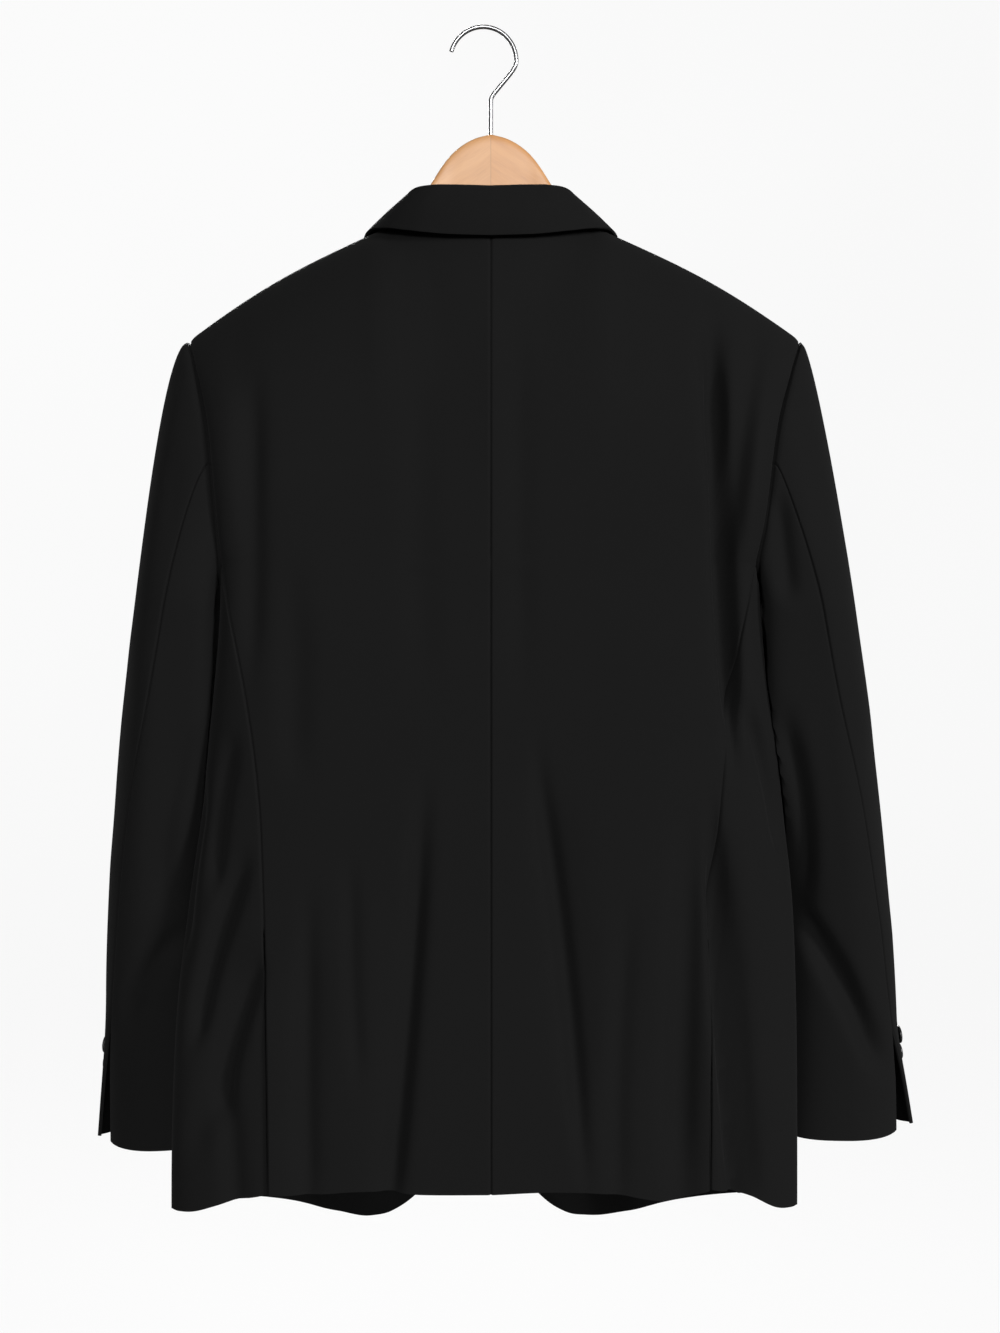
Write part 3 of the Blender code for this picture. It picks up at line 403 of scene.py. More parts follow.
# Troughs pressed into the cloth, as lines with a half width and a depth
folds = {word: table("x0 z0 x1 z1 width depth", rows) for word, rows in {
    "back": [
        (-168, -235, -186, -520, 10, 4.5), (177, -290, 180, -480, 12, 2), (144, -465, 147, -580, 12, 1.5),
        (-46, -600, -72, -830, 18, 3.5), (70, -680, 83, -910, 14, 3), (139, -730, 142, -900, 14, 2),
        (-150, -670, -146, -870, 10, 2.5), (-178, -640, -204, -920, 9, 5), (195, -720, 232, -880, 12, 4),
    ],
    "front": [
        (176, -300, 180, -520, 12, 3), (-178, -290, -182, -500, 12, 3.5), (20, -600, 120, -650, 12, 2.5),
        (-30, -605, -130, -660, 12, 2.5), (110, -760, 120, -960, 18, 3.5), (-90, -740, -104, -960, 18, 3.5),
    ],
}.items()}
armhole = {
    "seam": table("turn* x y z", [
        (0, 239.5, -4, -241), (30, 231, 28, -263), (60, 218, 51, -312), (90, 211, 62, -370),
        (120, 208, 56, -418), (150, 210, 34, -438), (180, 212, 5, -446), (225, 207, -32, -434),
        (270, 202, -54, -378), (300, 207, -50, -325), (330, 222, -30, -272), (360, 239.5, -4, -241),
    ]),
    "backCorner": math.radians(120), "frontCorner": math.radians(225), "cornerSpread": math.radians(15),
    "reach": {left: 0.0, right: 0.006},
}


# Finer creases, pressed along the normals: a line's ends, its bow sideways, half width and depth
creases = {word: table("x0 z0 x1 z1 bow width depth", rows) for word, rows in {
    "back": [
        (-170, -285, -185, -540, 2, 5.6, 20), (-168, -240, -176, -340, 1, 11, 3),
        (179, -290, 182, -495, -2, 8, 2.8), (149, -425, 151, -560, 0, 12, 2),
        (53, -290, 50, -500, 2, 14, 1.8), (-22, -250, -24, -500, 1, 10, 1.6),
        (-39, -590, -71, -870, -3, 6.8, 6.2), (53, -620, 80, -925, -2, 8, 7.4),
        (107, -660, 103, -810, 2, 7, 2.6), (140, -690, 143, -920, 2, 8, 3.6),
        (-105, -700, -100, -915, 3, 9, 3.4), (-154, -640, -150, -920, 2, 13, 6),
        (-173, -640, -196, -932, 3, 6.2, 15), (-188, -700, -206, -915, 2, 14, 2.4),
        (-200, -535, -228, -640, -3, 6.5, 9), (193, -655, 231, -785, 3, 7.5, 11),
        (183, -735, 214, -845, 3, 7.5, 9.6), (199, -560, 215, -665, 3, 7, 6.4),
        (206, -830, 200, -935, 0, 9, 5), (228, -600, 243, -720, 3, 8, 5),
    ],
    "sleeve": [
        (-247, -700, -320, -825, -4, 8.8, 16), (-229, -545, -249, -680, -5, 8.5, 9),
        (-219, -370, -227, -440, 0, 7, 4.8), (-300, -560, -330, -700, 4, 14, 2.4),
        (250, -715, 300, -790, 4, 9, 5.6), (236, -560, 262, -680, 5, 10, 4.4),
        (285, -500, 305, -640, -4, 14, 1.8), (240, -340, 262, -470, -3, 12, 2.6),
        (-242, -300, -262, -400, 3, 11, 3),
    ],
    "front": [
        (-176, -300, -184, -540, 2, 10, 4.5), (172, -290, 182, -530, -2, 10, 5),
        (30, -598, 150, -665, 4, 9, 3.4), (-40, -602, -150, -672, 3, 9, 3.2),
        (24, -586, 120, -560, -3, 9, 2.4), (-36, -588, -118, -566, -3, 9, 2.2),
        (125, -740, 140, -960, 4, 14, 5), (-100, -720, -122, -960, -4, 14, 4.8),
        (190, -560, 214, -860, 4, 12, 5), (-196, -590, -208, -880, 2, 12, 4.8),
        (60, -700, 64, -900, 3, 16, 2.6), (-60, -690, -54, -900, 3, 16, 2.4),
    ],
    "sleeveFront": [
        (-330, -690, -262, -760, 4, 11, 5), (322, -670, 254, -735, 4, 11, 4.6),
        (-322, -630, -268, -668, 3, 10, 3.2), (316, -720, 262, -775, 3, 10, 3.6),
        (-250, -450, -268, -600, -4, 14, 3.2), (246, -450, 262, -590, 4, 14, 3),
    ],
}.items()}


def lineFade(along, margin):  # full between a line's ends, and gone a little way past them
    return ease((along + margin) / (2 * margin)) * ease((1 + margin - along) / (2 * margin))


def creaseDepth(lines, x, z):
    total = np.zeros(np.broadcast(x, z).shape)
    for x0, z0, x1, z1, bow, width, depth in zip(*lines.values()):
        run, fall = x1 - x0, z1 - z0
        length = math.hypot(run, fall)
        along = ((x - x0) * run + (z - z0) * fall) / length ** 2
        across = ((x - x0) * fall - (z - z0) * run) / length
        across = across + bow * np.sin(math.pi * np.clip(along, 0, 1))
        total = total + depth * bell(across / width) * lineFade(along, cloth["creaseMargin"])
    return total / (1 + (total / cloth["deepest"]) ** 4) ** 0.25


def foldDepth(lines, x, z):
    total = np.zeros(np.broadcast(x, z).shape)
    for x0, z0, x1, z1, width, depth in zip(*lines.values()):
        along = (z - z0) / (z1 - z0)
        across = (x - (x0 + (x1 - x0) * along)) / width
        total = total + depth * bell(across) * lineFade(along, cloth["foldMargin"])
    return total


def bodyQuarter(z, back):  # the side's middle, the depth from there and the curve's power, behind or in front
    middle, backY, frontY, backPower, frontPower = read(
        body["sections"], z, "sideY", "backY", "frontY", "backPower", "frontPower")
    return middle, np.where(back, backY - middle, middle - frontY), np.where(back, backPower, frontPower)


def bodyPoint(turn, z, side):  # turn is a quarter at the centre back, 0 at the side, minus a quarter in front
    turn, z = np.broadcast_arrays(turn, z)
    back = turn >= 0
    middle, depth, power = bodyQuarter(z, back)
    cos, sin = np.cos(turn), np.sin(turn)
    reach = roundness(cos, sin, power)
    x = side * read(body["sections"], z, side) * reach * cos
    trough = np.where(back, foldDepth(folds["back"], x, z), foldDepth(folds["front"], x, z))
    y = middle + depth * reach * sin - np.sign(sin) * trough * ease(cloth["facing"] * np.abs(sin))
    return stack(x, y, z)


def turnAt(x, z, side, back):
    width, power = read(body["sections"], z, side, "backPower" if back else "frontPower")
    share = np.clip(x / width, -1, 1)
    height = (1 - np.abs(share) ** power) ** (1 / power)
    return np.arctan2(height if back else -height, share)


def backSeamTurn(z, side):
    return turnAt(read(body["backSeam"], z, side), z, side, True)


def frontSeamTurn(z, side):
    width = read(body["sections"], z, side)
    return turnAt(read(body["frontSeam"], z, "share") * width, z, side, False)


def armholeTablePoint(turn, side):
    def lapped(name, circle=0):  # a column with two rows more at each end
        column = armhole["seam"][name]
        return np.concatenate([column[-3:-1] - circle, column, column[1:3] + circle])

    knots = lapped("turn", 360)
    x, y, z = (smooth(np.degrees(turn), knots, lapped(axis)) for axis in "xyz")
    return stack(side * (x + armhole["reach"][side] * (0.5 + 0.5 * np.cos(turn)) ** 2), y, z)


def armholePoint(turn, side):  # the two lower corners are drawn onto the body's own surface
    points = armholeTablePoint(turn, side)
    for corner, seamTurn in ((armhole["backCorner"], backSeamTurn), (armhole["frontCorner"], frontSeamTurn)):
        byTable = armholeTablePoint(corner, side)
        onBody = bodyPoint(seamTurn(byTable[2], side), byTable[2], side)
        near = bell((np.asarray(turn) - corner) / armhole["cornerSpread"])
        points = points + near[..., None] * (onBody - byTable)
    return points


def shoulderPoint(share, side):
    share = np.clip(share, 0, 1)[..., None]
    x, y, z = body["sideNeck"]
    neck = np.array([side * x, y, z])
    tip = armholePoint(np.array(0.0), side)
    rise = np.sin(math.pi * share ** 1.2) * [0, 0, body["shoulderRise"]]
    return neck + (tip - neck) * share + rise


def backSection(s, z, side):
    x = s * read(body["backSeam"], z, side)
    return bodyPoint(turnAt(x, z, side, True), z, side)


def backTopEdge(s, side):  # the neck seam, then the shoulder seam
    share = body["neckShare"]
    quarter = np.minimum(s / share, 1) * math.pi / 2
    (sideX, sideY, sideZ), (_, backY, backZ) = body["sideNeck"], body["backNeck"]
    neck = stack(side * sideX * np.sin(quarter), sideY + (backY - sideY) * np.cos(quarter),
                 backZ + (sideZ - backZ) * (1 - np.cos(quarter)))
    return np.where((s > share)[..., None], shoulderPoint((s - share) / (1 - share), side), neck)


def arrival(word, s):  # the slope at which a panel comes up to its top edge
    neck, shoulder, reach = body[word + "Arrival"].values()
    return neck + np.subtract(shoulder, neck) * ease(s / reach)[..., None]


def backTop(s, side):  # the top edge evened out across, so that its corner stays out of the panel
    window = body["neckWindow"]
    window = window * ease(s / window) * ease((1 - s) / window)
    shifts = np.linspace(-1, 1, 9)
    weights = (1 - shifts ** 2) + 0.02
    evened = sum(w * backTopEdge(s + window * k, side) for w, k in zip(weights, shifts)) / weights.sum()
    return evened, arrival("back", s)


def upperEnds(section, top, s, corner, side):  # where a panel's upper part starts and ends, and its slopes
    start, below = (section(s, corner[2] - drop + 0 * s, side) for drop in (0, body["slopeStep"]))
    edge, arrive = top(s, side)
    return start, (edge[..., 2] - corner[2])[..., None] * (start - below) / body["slopeStep"], edge, arrive


def rimWeight(s, t):  # how far into a panel its armhole edge is felt, least beside the corner
    corner, top = body["rimPowers"]
    return (s ** (corner + (top - corner) * ease(4 * t)))[..., None]


# s runs from the centre seam outwards; v is 0 at the hem, 1 under the arm and 2 on top
def backSurface(s, v, side):
    corner = armholePoint(armhole["backCorner"], side)
    hem = read(body["backHem"], s, side)
    z = hem + (corner[2] - hem) * np.minimum(v, 1)
    vent = ease((s - body["ventFrom"]) / (1 - body["ventFrom"]))
    vent = body["ventLift"] * vent * ease((body["ventTop"] - z) / body["ventFade"])
    lower = backSection(s, z, side) + stack(0, vent, 0)
    t = np.clip(v - 1, 0, 1)
    start, leave, top, arrive = upperEnds(backSection, backTop, s, corner, side)
    upper = blendCurve(start, leave, top, arrive, t)
    upper = upper + (ease((t - 0.75) / 0.25)[..., None]) * (backTopEdge(s, side) - top)
    spineBase, rimBase = (blendCurve(*upperEnds(backSection, backTop, np.array(end), corner, side), t)
                          for end in (0.0, 1.0))
    rim = armholePoint(armhole["backCorner"] * (1 - t), side)
    spineZ = corner[2] + (body["backNeck"][2] - corner[2]) * t
    spine = stack(0, read(body["spine"], spineZ, "y"), spineZ)
    upper = upper + rimWeight(s, t) * (rim - rimBase) + ((1 - s) ** 4)[..., None] * (spine - spineBase)
    here, under = (foldDepth(folds["back"], at[..., 0], at[..., 2]) for at in (upper, start))
    upper[..., 1] -= (here - under * (1 - ease(t * 3))) * ease((1 - s) * 12) * ease((1 - t) * 8) * ease(t * 3)
    return np.where((v > 1)[..., None], upper, lower)


def sideSection(s, z, side):
    start, end = backSeamTurn(z, side), frontSeamTurn(z, side)
    return bodyPoint(start + (end - start) * s, z, side)


def sideSurface(s, v, side):  # s runs from the back seam forwards; v is 0 at the hem and 1 at the armhole
    hem = read(body["sideHem"], s, side)
    rim = armholePoint(armhole["backCorner"] + (armhole["frontCorner"] - armhole["backCorner"]) * s, side)
    z = hem + (rim[..., 2] - hem) * v
    seat = ease((v - 0.75) / 0.25)[..., None]
    return sideSection(s, z, side) + seat * (rim - sideSection(s, rim[..., 2], side))


def frontSection(s, z, side):
    outer = read(body["frontSeam"], z, "share") * read(body["sections"], z, side)
    inner = read(body["frontEdge"], z, side)
    return bodyPoint(turnAt(inner + (outer - inner) * s, z, side, False), z, side)


def frontTop(s, side):
    return shoulderPoint(s, side), arrival("front", s)


# s runs from the front edge outwards; v is 0 at the hem, 1 under the arm and 2 on top
def frontSurface(s, v, side):
    corner = armholePoint(armhole["frontCorner"], side)
    hem = read(body["frontHem"], s, side)
    lower = frontSection(s, hem + (corner[2] - hem) * np.minimum(v, 1), side)
    t = np.clip(v - 1, 0, 1)
    upper = blendCurve(*upperEnds(frontSection, frontTop, s, corner, side), t)
    rimBase = blendCurve(*upperEnds(frontSection, frontTop, np.array(1.0), corner, side), t)
    rim = armholePoint(armhole["frontCorner"] + (2 * math.pi - armhole["frontCorner"]) * t, side)
    upper = upper + rimWeight(s, t) * (rim - rimBase)
    points = np.where((v > 1)[..., None], upper, lower)
    if side == right:
        across, up = (ease((end - at) / fade) for at, (end, fade) in zip((s, v), body["lapEnds"]))
        points[..., 1] += body["lapDepth"] * across * up
    return points


# Sleeve rings: outer edge and half width on each side, middle and half depth, and the seams' turns
sleeve = {
    "rings": table("z Left Right LeftHalf RightHalf y halfDepth backSeam* frontSeam*", [
        (-455, 284.2, 290.8, 33.8, 37.1, -4, 70, 90, -122),
        (-530, 296.6, 304.4, 37.8, 41.7, -9, 64, 78, -122),
        (-610, 306.8, 317.2, 38.5, 43.2, -17, 59, 62, -123), (-690, 316.9, 330, 42, 46, -32, 54, 52, -124),
        (-773, 324.5, 340.4, 44.5, 48.5, -46, 49, 42, -125),
        (-850, 327.4, 347, 46.2, 50.8, -57, 47, 26, -126),
        (-910, 329.6, 350.8, 47.8, 52.9, -63, 46, 22, -126),
    ]),
    "cuff": table("turn* Left Right", [
        (-180, -904, -896), (-90, -907, -901), (0, -906, -894), (60, -907, -896), (180, -904, -896),
    ]),
    "top": -0.455, "seamTurn": math.radians(75),
    "endTurn": {"top": math.radians(-120), "under": math.radians(240)},
    "slit": {left: (-0.778, 0.128), right: (-0.8, 0.094)},
    "flare": {left: 0.009, right: 0.0118}, "flareShare": 0.22, "flareRise": 0.4, "tuck": -0.0012,
    "swell": {left: 0.25, right: 0.12},
    "square": {left: (2.6, 7.0), right: (3.0, 7.0)}, "squareRange": (-0.68, -0.54),
    "press": {left: 0.006, right: 0.0105}, "pressRange": (-0.66, -0.52), "clear": 0.0012,
    "length": 0.66, "capLines": (40, 0.2), "armLines": (80, 0.45), "across": 0.14,
    "pieces": {"top": {"columns": 60, "width": 0.2, "area": 0.106, "flip": 1},
               "under": {"columns": 50, "width": 0.16, "area": 0.076, "flip": -1}},
}


def sleeveAngle(q, z, word):
    back, front = np.radians(read(sleeve["rings"], z, "backSeam", "frontSeam"))
    front = front + (2 * math.pi if word == "under" else 0)
    return back + (front - back) * q


def besideBody(y, z, side):  # how far out the body's side is at a depth and height
    middle, depth, power = bodyQuarter(z, y > read(body["sections"], z, "sideY"))
    share = np.clip(np.abs(y - middle) / depth, 0, 1)
    return read(body["sections"], z, side) * (1 - share ** power) ** (1 / power)


def sleeveRing(q, z, side, word):
    angle = sleeveAngle(q, z, word)
    width, outer, depth, y = read(sleeve["rings"], z, sideNames[side] + "Half", side, "halfDepth", "y")
    slit, height = sleeve["slit"][side]
    lift = np.maximum((slit - z) / height, 0) * ease(1 - q / sleeve["flareShare"])
    lift = lift * (sleeve["tuck"] if word == "under" else sleeve["flare"][side])
    cos, sin = np.cos(angle), np.sin(angle)
    square = np.interp(z, sleeve["squareRange"], sleeve["square"][side])
    reach = roundness(cos, sin, np.where((cos < 0) & (sin > 0), square, 2.0))
    low, high = sleeve["pressRange"]
    press = sleeve["press"][side] * ease((z - low) / (high - low)) * (cos < 0)
    x = outer - width + (width + press) * reach * cos + lift
    y = y + depth * reach * sin
    x = np.maximum(x, besideBody(y, z, side) + sleeve["clear"])
    return stack(side * x, y, z + (0 if word == "under" else sleeve["flareRise"]) * lift)


# q runs from the back seam to the front one; v is 0 at the armhole and 2 at the cuff
def sleeveSurface(q, v, side, word):
    first = sleeve["seamTurn"] + (sleeve["endTurn"][word] - sleeve["seamTurn"]) * q
    start = armholePoint(np.mod(first, 2 * math.pi), side)
    top, step = sleeve["top"] + 0 * q, body["slopeStep"]
    below = sleeveRing(q, top, side, word)
    lowerSlope = (sleeveRing(q, top - step, side, word) - below) / step
    reach = np.linalg.norm(below - start, axis=-1, keepdims=True)
    leave = reach * [sleeve["swell"][side] * side, 0, 0]
    cap = blendCurve(start, leave, below, reach * lowerSlope, np.clip(v, 0, 1))
    angle = sleeveAngle(q, top, word)
    turn = np.degrees(np.arctan2(np.sin(angle), np.cos(angle)))
    cuff = read(sleeve["cuff"], turn, side)
    z = sleeve["top"] + (cuff - sleeve["top"]) * np.clip(v - 1, 0, 1)
    return np.where((v > 1)[..., None], sleeveRing(q, z, side, word), cap)


# Collar: the neck seam under the stand, the top of the roll, and the edge of the fall
collar = {
    "lines": table("share* seamX seamY seamZ rollX rollY rollZ edgeX edgeY edgeZ rollR", [
        (0, 0, 44.5, -157.2, 0, 47, -131.2, 0, 58, -170, 4),
        (0.2, 26.2, 41.5, -156.3, 27.5, 46.2, -130.3, 37, 55.5, -168.2, 4),
        (0.34, 42.5, 36.2, -155.3, 44, 44, -130, 62, 49.5, -164.5, 3.9),
        (0.46, 56.8, 27.5, -153.4, 56, 35, -130.6, 82, 37, -160, 3.7),
        (0.58, 71.9, 8.2, -149.4, 63, 14, -134.5, 96.5, 11, -157.2, 3.4),
        (0.72, 71.2, -5.8, -161, 66.5, -8, -149, 104, -14.5, -171.2, 3.2),
        (0.86, 68.2, -18.5, -179.5, 67.5, -22.5, -170, 111.5, -38.5, -206, 3),
        (1, 65, -28, -197.3, 66, -34.5, -192.5, 113, -58.5, -263, 2.8),
    ]),
    "stand": 0.25, "fall": 0.65, "bulge": 0.0025, "wall": 0.0018, "columns": 150, "rows": 72,
}


def collarLine(share, side, line):
    x, y, z = read(collar["lines"], share, line + "X", line + "Y", line + "Z")
    return stack(side * x, y, z)


# s runs from the right end to the left one; v from the neck seam over the roll to the edge
def collarSurface(s, v):
    share, side = np.abs(2 * s - 1), np.sign(2 * s - 1)
    seam, roll, edge = (collarLine(share, side, line) for line in ("seam", "roll", "edge"))
    radius = read(collar["lines"], share, "rollR")[..., None]
    up = unit(roll - (seam + edge) / 2)
    out = edge - seam
    out = unit(out - np.sum(out * up, -1, keepdims=True) * up)
    middle = roll - radius * up
    over = np.clip((v - collar["stand"]) / (collar["fall"] - collar["stand"]), 0, 1)
    turn = math.pi * (1 - over)[..., None]
    arc = middle + radius * (out * np.cos(turn) + up * np.sin(turn))
    stand = np.clip(1 - v / collar["stand"], 0, 1)[..., None]
    fall = np.clip((v - collar["fall"]) / (1 - collar["fall"]), 0, 1)[..., None]
    bulge = out * collar["bulge"] * np.sin(math.pi * fall) * (1 - share[..., None])
    return arc + stand * (seam - (middle - radius * out)) + fall * (edge - (middle + radius * out)) + bulge


# Building with grids: bmesh makes the grid, and its points are laid on a surface

def normalsOf(surface, s, v, flip):
    tiny = 1e-4
    across = surface(np.minimum(s + tiny, 1), v) - surface(np.maximum(s - tiny, 0), v)
    v0, v1 = np.maximum(v - tiny, v.min()), np.minimum(v + tiny, v.max())
    along = surface(s, v1) - surface(s, v0)
    return unit(np.cross(across, along)) * flip


def lengthsAlong(points, axis):  # how far each point is along its row or column
    steps = np.linalg.norm(np.diff(points, axis=axis), axis=-1)
    return np.insert(np.cumsum(steps, axis=axis), 0, 0, axis=axis)


def shares(count, length, *edges):  # even shares of a length, with close ones beside its sewn or cut edges
    near = np.array(cloth["closeLines"]) / length
    close = [near if edge == 0 else 1 - near for edge in edges]
    return np.unique(np.round(np.concatenate([np.linspace(0, 1, count + 1), *close]), 6))


def gridObject(name, points, surfaceLooks, normals=None):
    columns, rows = points.shape[:2]
    shape = bmesh.new()
    bmesh.ops.create_grid(shape, x_segments=columns - 1, y_segments=rows - 1, size=1)
    mesh = bpy.data.meshes.new(name)
    shape.to_mesh(mesh)
    shape.free()
    flat = np.empty(len(mesh.vertices) * 3)
    mesh.vertices.foreach_get("co", flat)
    column, row = np.rint((flat.reshape(-1, 3)[:, :2] + 1) / 2 * [columns - 1, rows - 1]).astype(int).T
    mesh.vertices.foreach_set("co", points[column, row].ravel())
    places = np.stack([lengthsAlong(points, 0), lengthsAlong(points, 1)], -1)[column, row]
    corners = np.empty(len(mesh.loops), int)
    mesh.loops.foreach_get("vertex_index", corners)
    mesh.uv_layers.new(name="cloth").data.foreach_set("uv", places[corners].ravel())
    for look in surfaceLooks:
        mesh.materials.append(looks[look])
    mesh.shade_smooth()
    mesh.update()
    if normals is not None:
        face = mesh.polygons[len(mesh.polygons) // 2 + rows // 2]
        if face.normal.dot(normals[column, row][face.vertices[0]]) < 0:
            mesh.flip_normals()
    return place(name, mesh)


def nodeOf(name):  # the node that a piece stands for: backLeft replaces back_left
    return "".join(letter if letter.islower() else "_" + letter.lower() for letter in name)


def dress(made, node):
    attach(made, "root")
    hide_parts(node or nodeOf(made.name))


def addTube(name, rings, slot, sharp, node=None):  # a closed body through rings, its ends drawn to a point
    ends = [rings[k:k + 1] * 0 + rings[k].mean(0) for k in (0, len(rings) - 1)]
    points = np.concatenate([ends[0], rings, ends[1]])
    made = gridObject(name, np.concatenate([points, points[:, :1]], 1), [slot])
    shape = bmesh.new()
    shape.from_mesh(made.data)
    bmesh.ops.remove_doubles(shape, verts=shape.verts, dist=1e-6)
    bmesh.ops.recalc_face_normals(shape, faces=shape.faces)
    shape.to_mesh(made.data)
    shape.free()
    made.data.set_sharp_from_angle(angle=math.radians(sharp))
    dress(made, node)


def addSheet(name, points, normals, wall, slot, restsOn, inside="lining", node=None):
    made = gridObject(name, points, [slot, inside], normals)
    solid = made.modifiers.new("wall", "SOLIDIFY")
    solid.thickness = wall
    solid.offset = -1
    solid.use_quality_normals = True
    solid.material_offset = 1
    soft = made.modifiers.new("soft edges", "BEVEL")
    soft.width = wall * softEdge["share"]
    soft.segments = softEdge["segments"]
    soft.limit_method = "ANGLE"
    soft.angle_limit = math.radians(softEdge["angle"])
    dress(made, node)


def seamed(points, normals, edges, rim, vent):  # turns the cloth in at each sewn edge and laps it there
    moved = points.copy()
    across, along = lengthsAlong(points, 0), lengthsAlong(points, 1)
    distances = {"first": across, "last": across[-1:] - across, "bottom": along, "top": along[:, -1:] - along}
    for edge in edges:
        dip = cloth["seamDip"] * bell(distances[edge] / cloth["seamWidth"])
        if edge == rim:
            near = bell(distances[edge] / cloth["armholeWidth"])
            above = ease((points[..., 2] - cloth["armholeFoot"]) / cloth["armholeFade"])
            dip = dip + cloth["armholeDip"] * near * above
        moved = moved - normals * dip[..., None]
    for edge, inner, word in ((0, 1, "first"), (-1, -2, "last")):
        slit = (points[edge][:, 2:] < body["ventTop"]) * (word == vent)
        lap = cloth["lap"] - slit * (cloth["lap"] + cloth["ventGap"])
        moved[edge] -= unit(points[inner] - points[edge]) * lap
        if word == "first" and rim == "bottom":  # a sleeve's seam allowance, turned in under the body's edge
            outward = unit(points[:, 0] - points[:, 2])
            moved[:, 0] = moved[:, 1] - normals[:, 0] * cloth["allowance"] + outward * cloth["allowance"]
        else:
            moved[:, edge] -= unit(points[:, inner] - points[:, edge]) * cloth["lap"]
    return moved


def creased(points, normals, words):  # the creases behind and the ones in front
    x, z = points[..., 0], points[..., 2]
    depth = sum(ease(toward * normals[..., 1] * cloth["facing"]) * creaseDepth(creases[word], x, z)
                for word, toward in zip(words, (1, -1)))
    return points - normals * depth[..., None]


def panel(surface, columns, rows, flip, edges, words=None, rim=None, vent=None):
    s, v = grid(columns, rows)
    points = surface(s, v)
    normals = normalsOf(surface, s, v, flip)
    if words:
        points = creased(points, normals, words)
    points = seamed(points, normals, edges, rim, vent)
    return {"columns": columns, "rows": rows, "points": points, "normals": normals}


def cellOf(lines, at):  # the grid line before a place, and the share of the way to the next one
    k = np.clip(np.searchsorted(lines, at, "right") - 1, 0, len(lines) - 2)
    return k, ((at - lines[k]) / (lines[k + 1] - lines[k]))[..., None]


def onPanel(piece, s, v):  # points and normals at any place on a panel
    (i, a), (j, b) = cellOf(piece["columns"], s), cellOf(piece["rows"], v)
    points, normals = ((1 - a) * (1 - b) * at[i, j] + a * (1 - b) * at[i + 1, j]
                       + (1 - a) * b * at[i, j + 1] + a * b * at[i + 1, j + 1]
                       for at in (piece["points"], piece["normals"]))
    return points, unit(normals)


# Each panel's surface, grid, sewn edges, its armhole and vent ends, and the flat size and area of its cut
sideRows = shares(90, 0.5, 0, 1)
fullRows = np.concatenate([shares(90, 0.5, 0), 1 + shares(60, 0.26, 1)[1:]])
panels = {
    "back": {"surface": backSurface, "columns": shares(104, 0.2, 0, 1), "rows": fullRows, "flip": -1,
             "edges": ["first", "last", "top"], "ends": ("last", "last"), "flat": (0.23, 0.77), "area": 0.15},
    "side": {"surface": sideSurface, "columns": shares(72, 0.13, 0, 1), "rows": sideRows, "flip": -1,
             "edges": ["first", "last", "top"], "ends": ("top", "first"), "flat": (0.17, 0.53),
             "area": 0.071},
    "front": {"surface": frontSurface, "columns": shares(70, 0.2, 0, 1), "rows": fullRows, "flip": 1,
              "edges": ["last", "top"], "ends": ("last", None), "flat": (0.27, 0.84), "area": 0.161},
}
underlap = {"shares": (0.8, 0.985), "heights": (0.004, 0.42), "depth": 0.0027, "columns": 12, "rows": 40}


def addPatch(base, cut):  # a grid of points on part of a panel
    s, v = grid(np.linspace(*cut["shares"], cut["columns"]), np.linspace(*cut["heights"], cut["rows"]))
    return onPanel(base, s, v + cut.get("slant", 0) * (s - cut["shares"][0]))


def addBody(side):
    name, made = sideNames[side], {}
    for word, cut in panels.items():
        piece = panel(lambda s, v: cut["surface"](s, v, side), cut["columns"], cut["rows"],
                      side * cut["flip"], cut["edges"], ("back", "front"), *cut["ends"])
        addSheet(word + name, piece["points"], piece["normals"], cloth["wall"], "wool",
                 ["back" + name if word == "side" else "hanger"])
        made[word] = piece
    points, normals = addPatch(made["back"], underlap)
    addSheet("ventUnderlap" + name, points - normals * underlap["depth"], normals, cloth["wall"], "wool",
             ["side" + name])
    return made["front"]


lapel = {
    "top": table("share* height*", [
        (0, 1.67), (0.23, 1.61), (0.46, 1.55), (0.69, 1.49), (0.85, 1.54), (1, 1.6),
    ]),
    "edge": table("share* reach*", [
        (0, 0.03), (0.25, 0.17), (0.5, 0.3), (0.75, 0.4), (1, 0.48),
    ]),
    "start": 0.68, "lift": 0.0012, "roll": 0.004, "wall": 0.0016, "columns": 40, "rows": 110,
}


def addLapel(front, side):
    q, r = grid(np.linspace(0, 1, lapel["columns"] + 1), np.linspace(0, 1, lapel["rows"] + 1))
    top = np.interp(q, lapel["top"]["share"], lapel["top"]["height"])
    s = q * read(lapel["edge"], r, "reach")
    points, normals = onPanel(front, s, lapel["start"] + r * (top - lapel["start"]))
    belly = lapel["roll"] * (1 - q) ** 2 * ease(r * 4) * ease((1 - r) * 4)
    points = points + normals * (lapel["lift"] + lapel["wall"] + belly)[..., None]
    addSheet("lapel" + sideNames[side], points, normals, lapel["wall"], "satin",
             ["front" + sideNames[side]], "satin")


def addSleeve(side):
    name, made = sideNames[side], {}
    rows = np.concatenate([shares(*sleeve["capLines"], 0), 1 + shares(*sleeve["armLines"], 1)[1:]])
    for word, cut in sleeve["pieces"].items():
        columns = shares(cut["columns"], sleeve["across"], 0, 1)
        piece = panel(lambda q, v: sleeveSurface(q, v, side, word), columns, rows, side * cut["flip"],
                      ["first", "last", "bottom"], ("sleeve", "sleeveFront"), "bottom")
        addSheet(word + "Sleeve" + name, piece["points"], piece["normals"], cloth["wall"], "wool",
                 ["back" + name, "front" + name])
        made[word] = piece
    for k in range(cuffButtons["count"]):
        height = cuffButtons["height"] - k * cuffButtons["step"]
        addButton(f"cuffButton{name}{k + 1}", made["top"], height, cuffButtons)


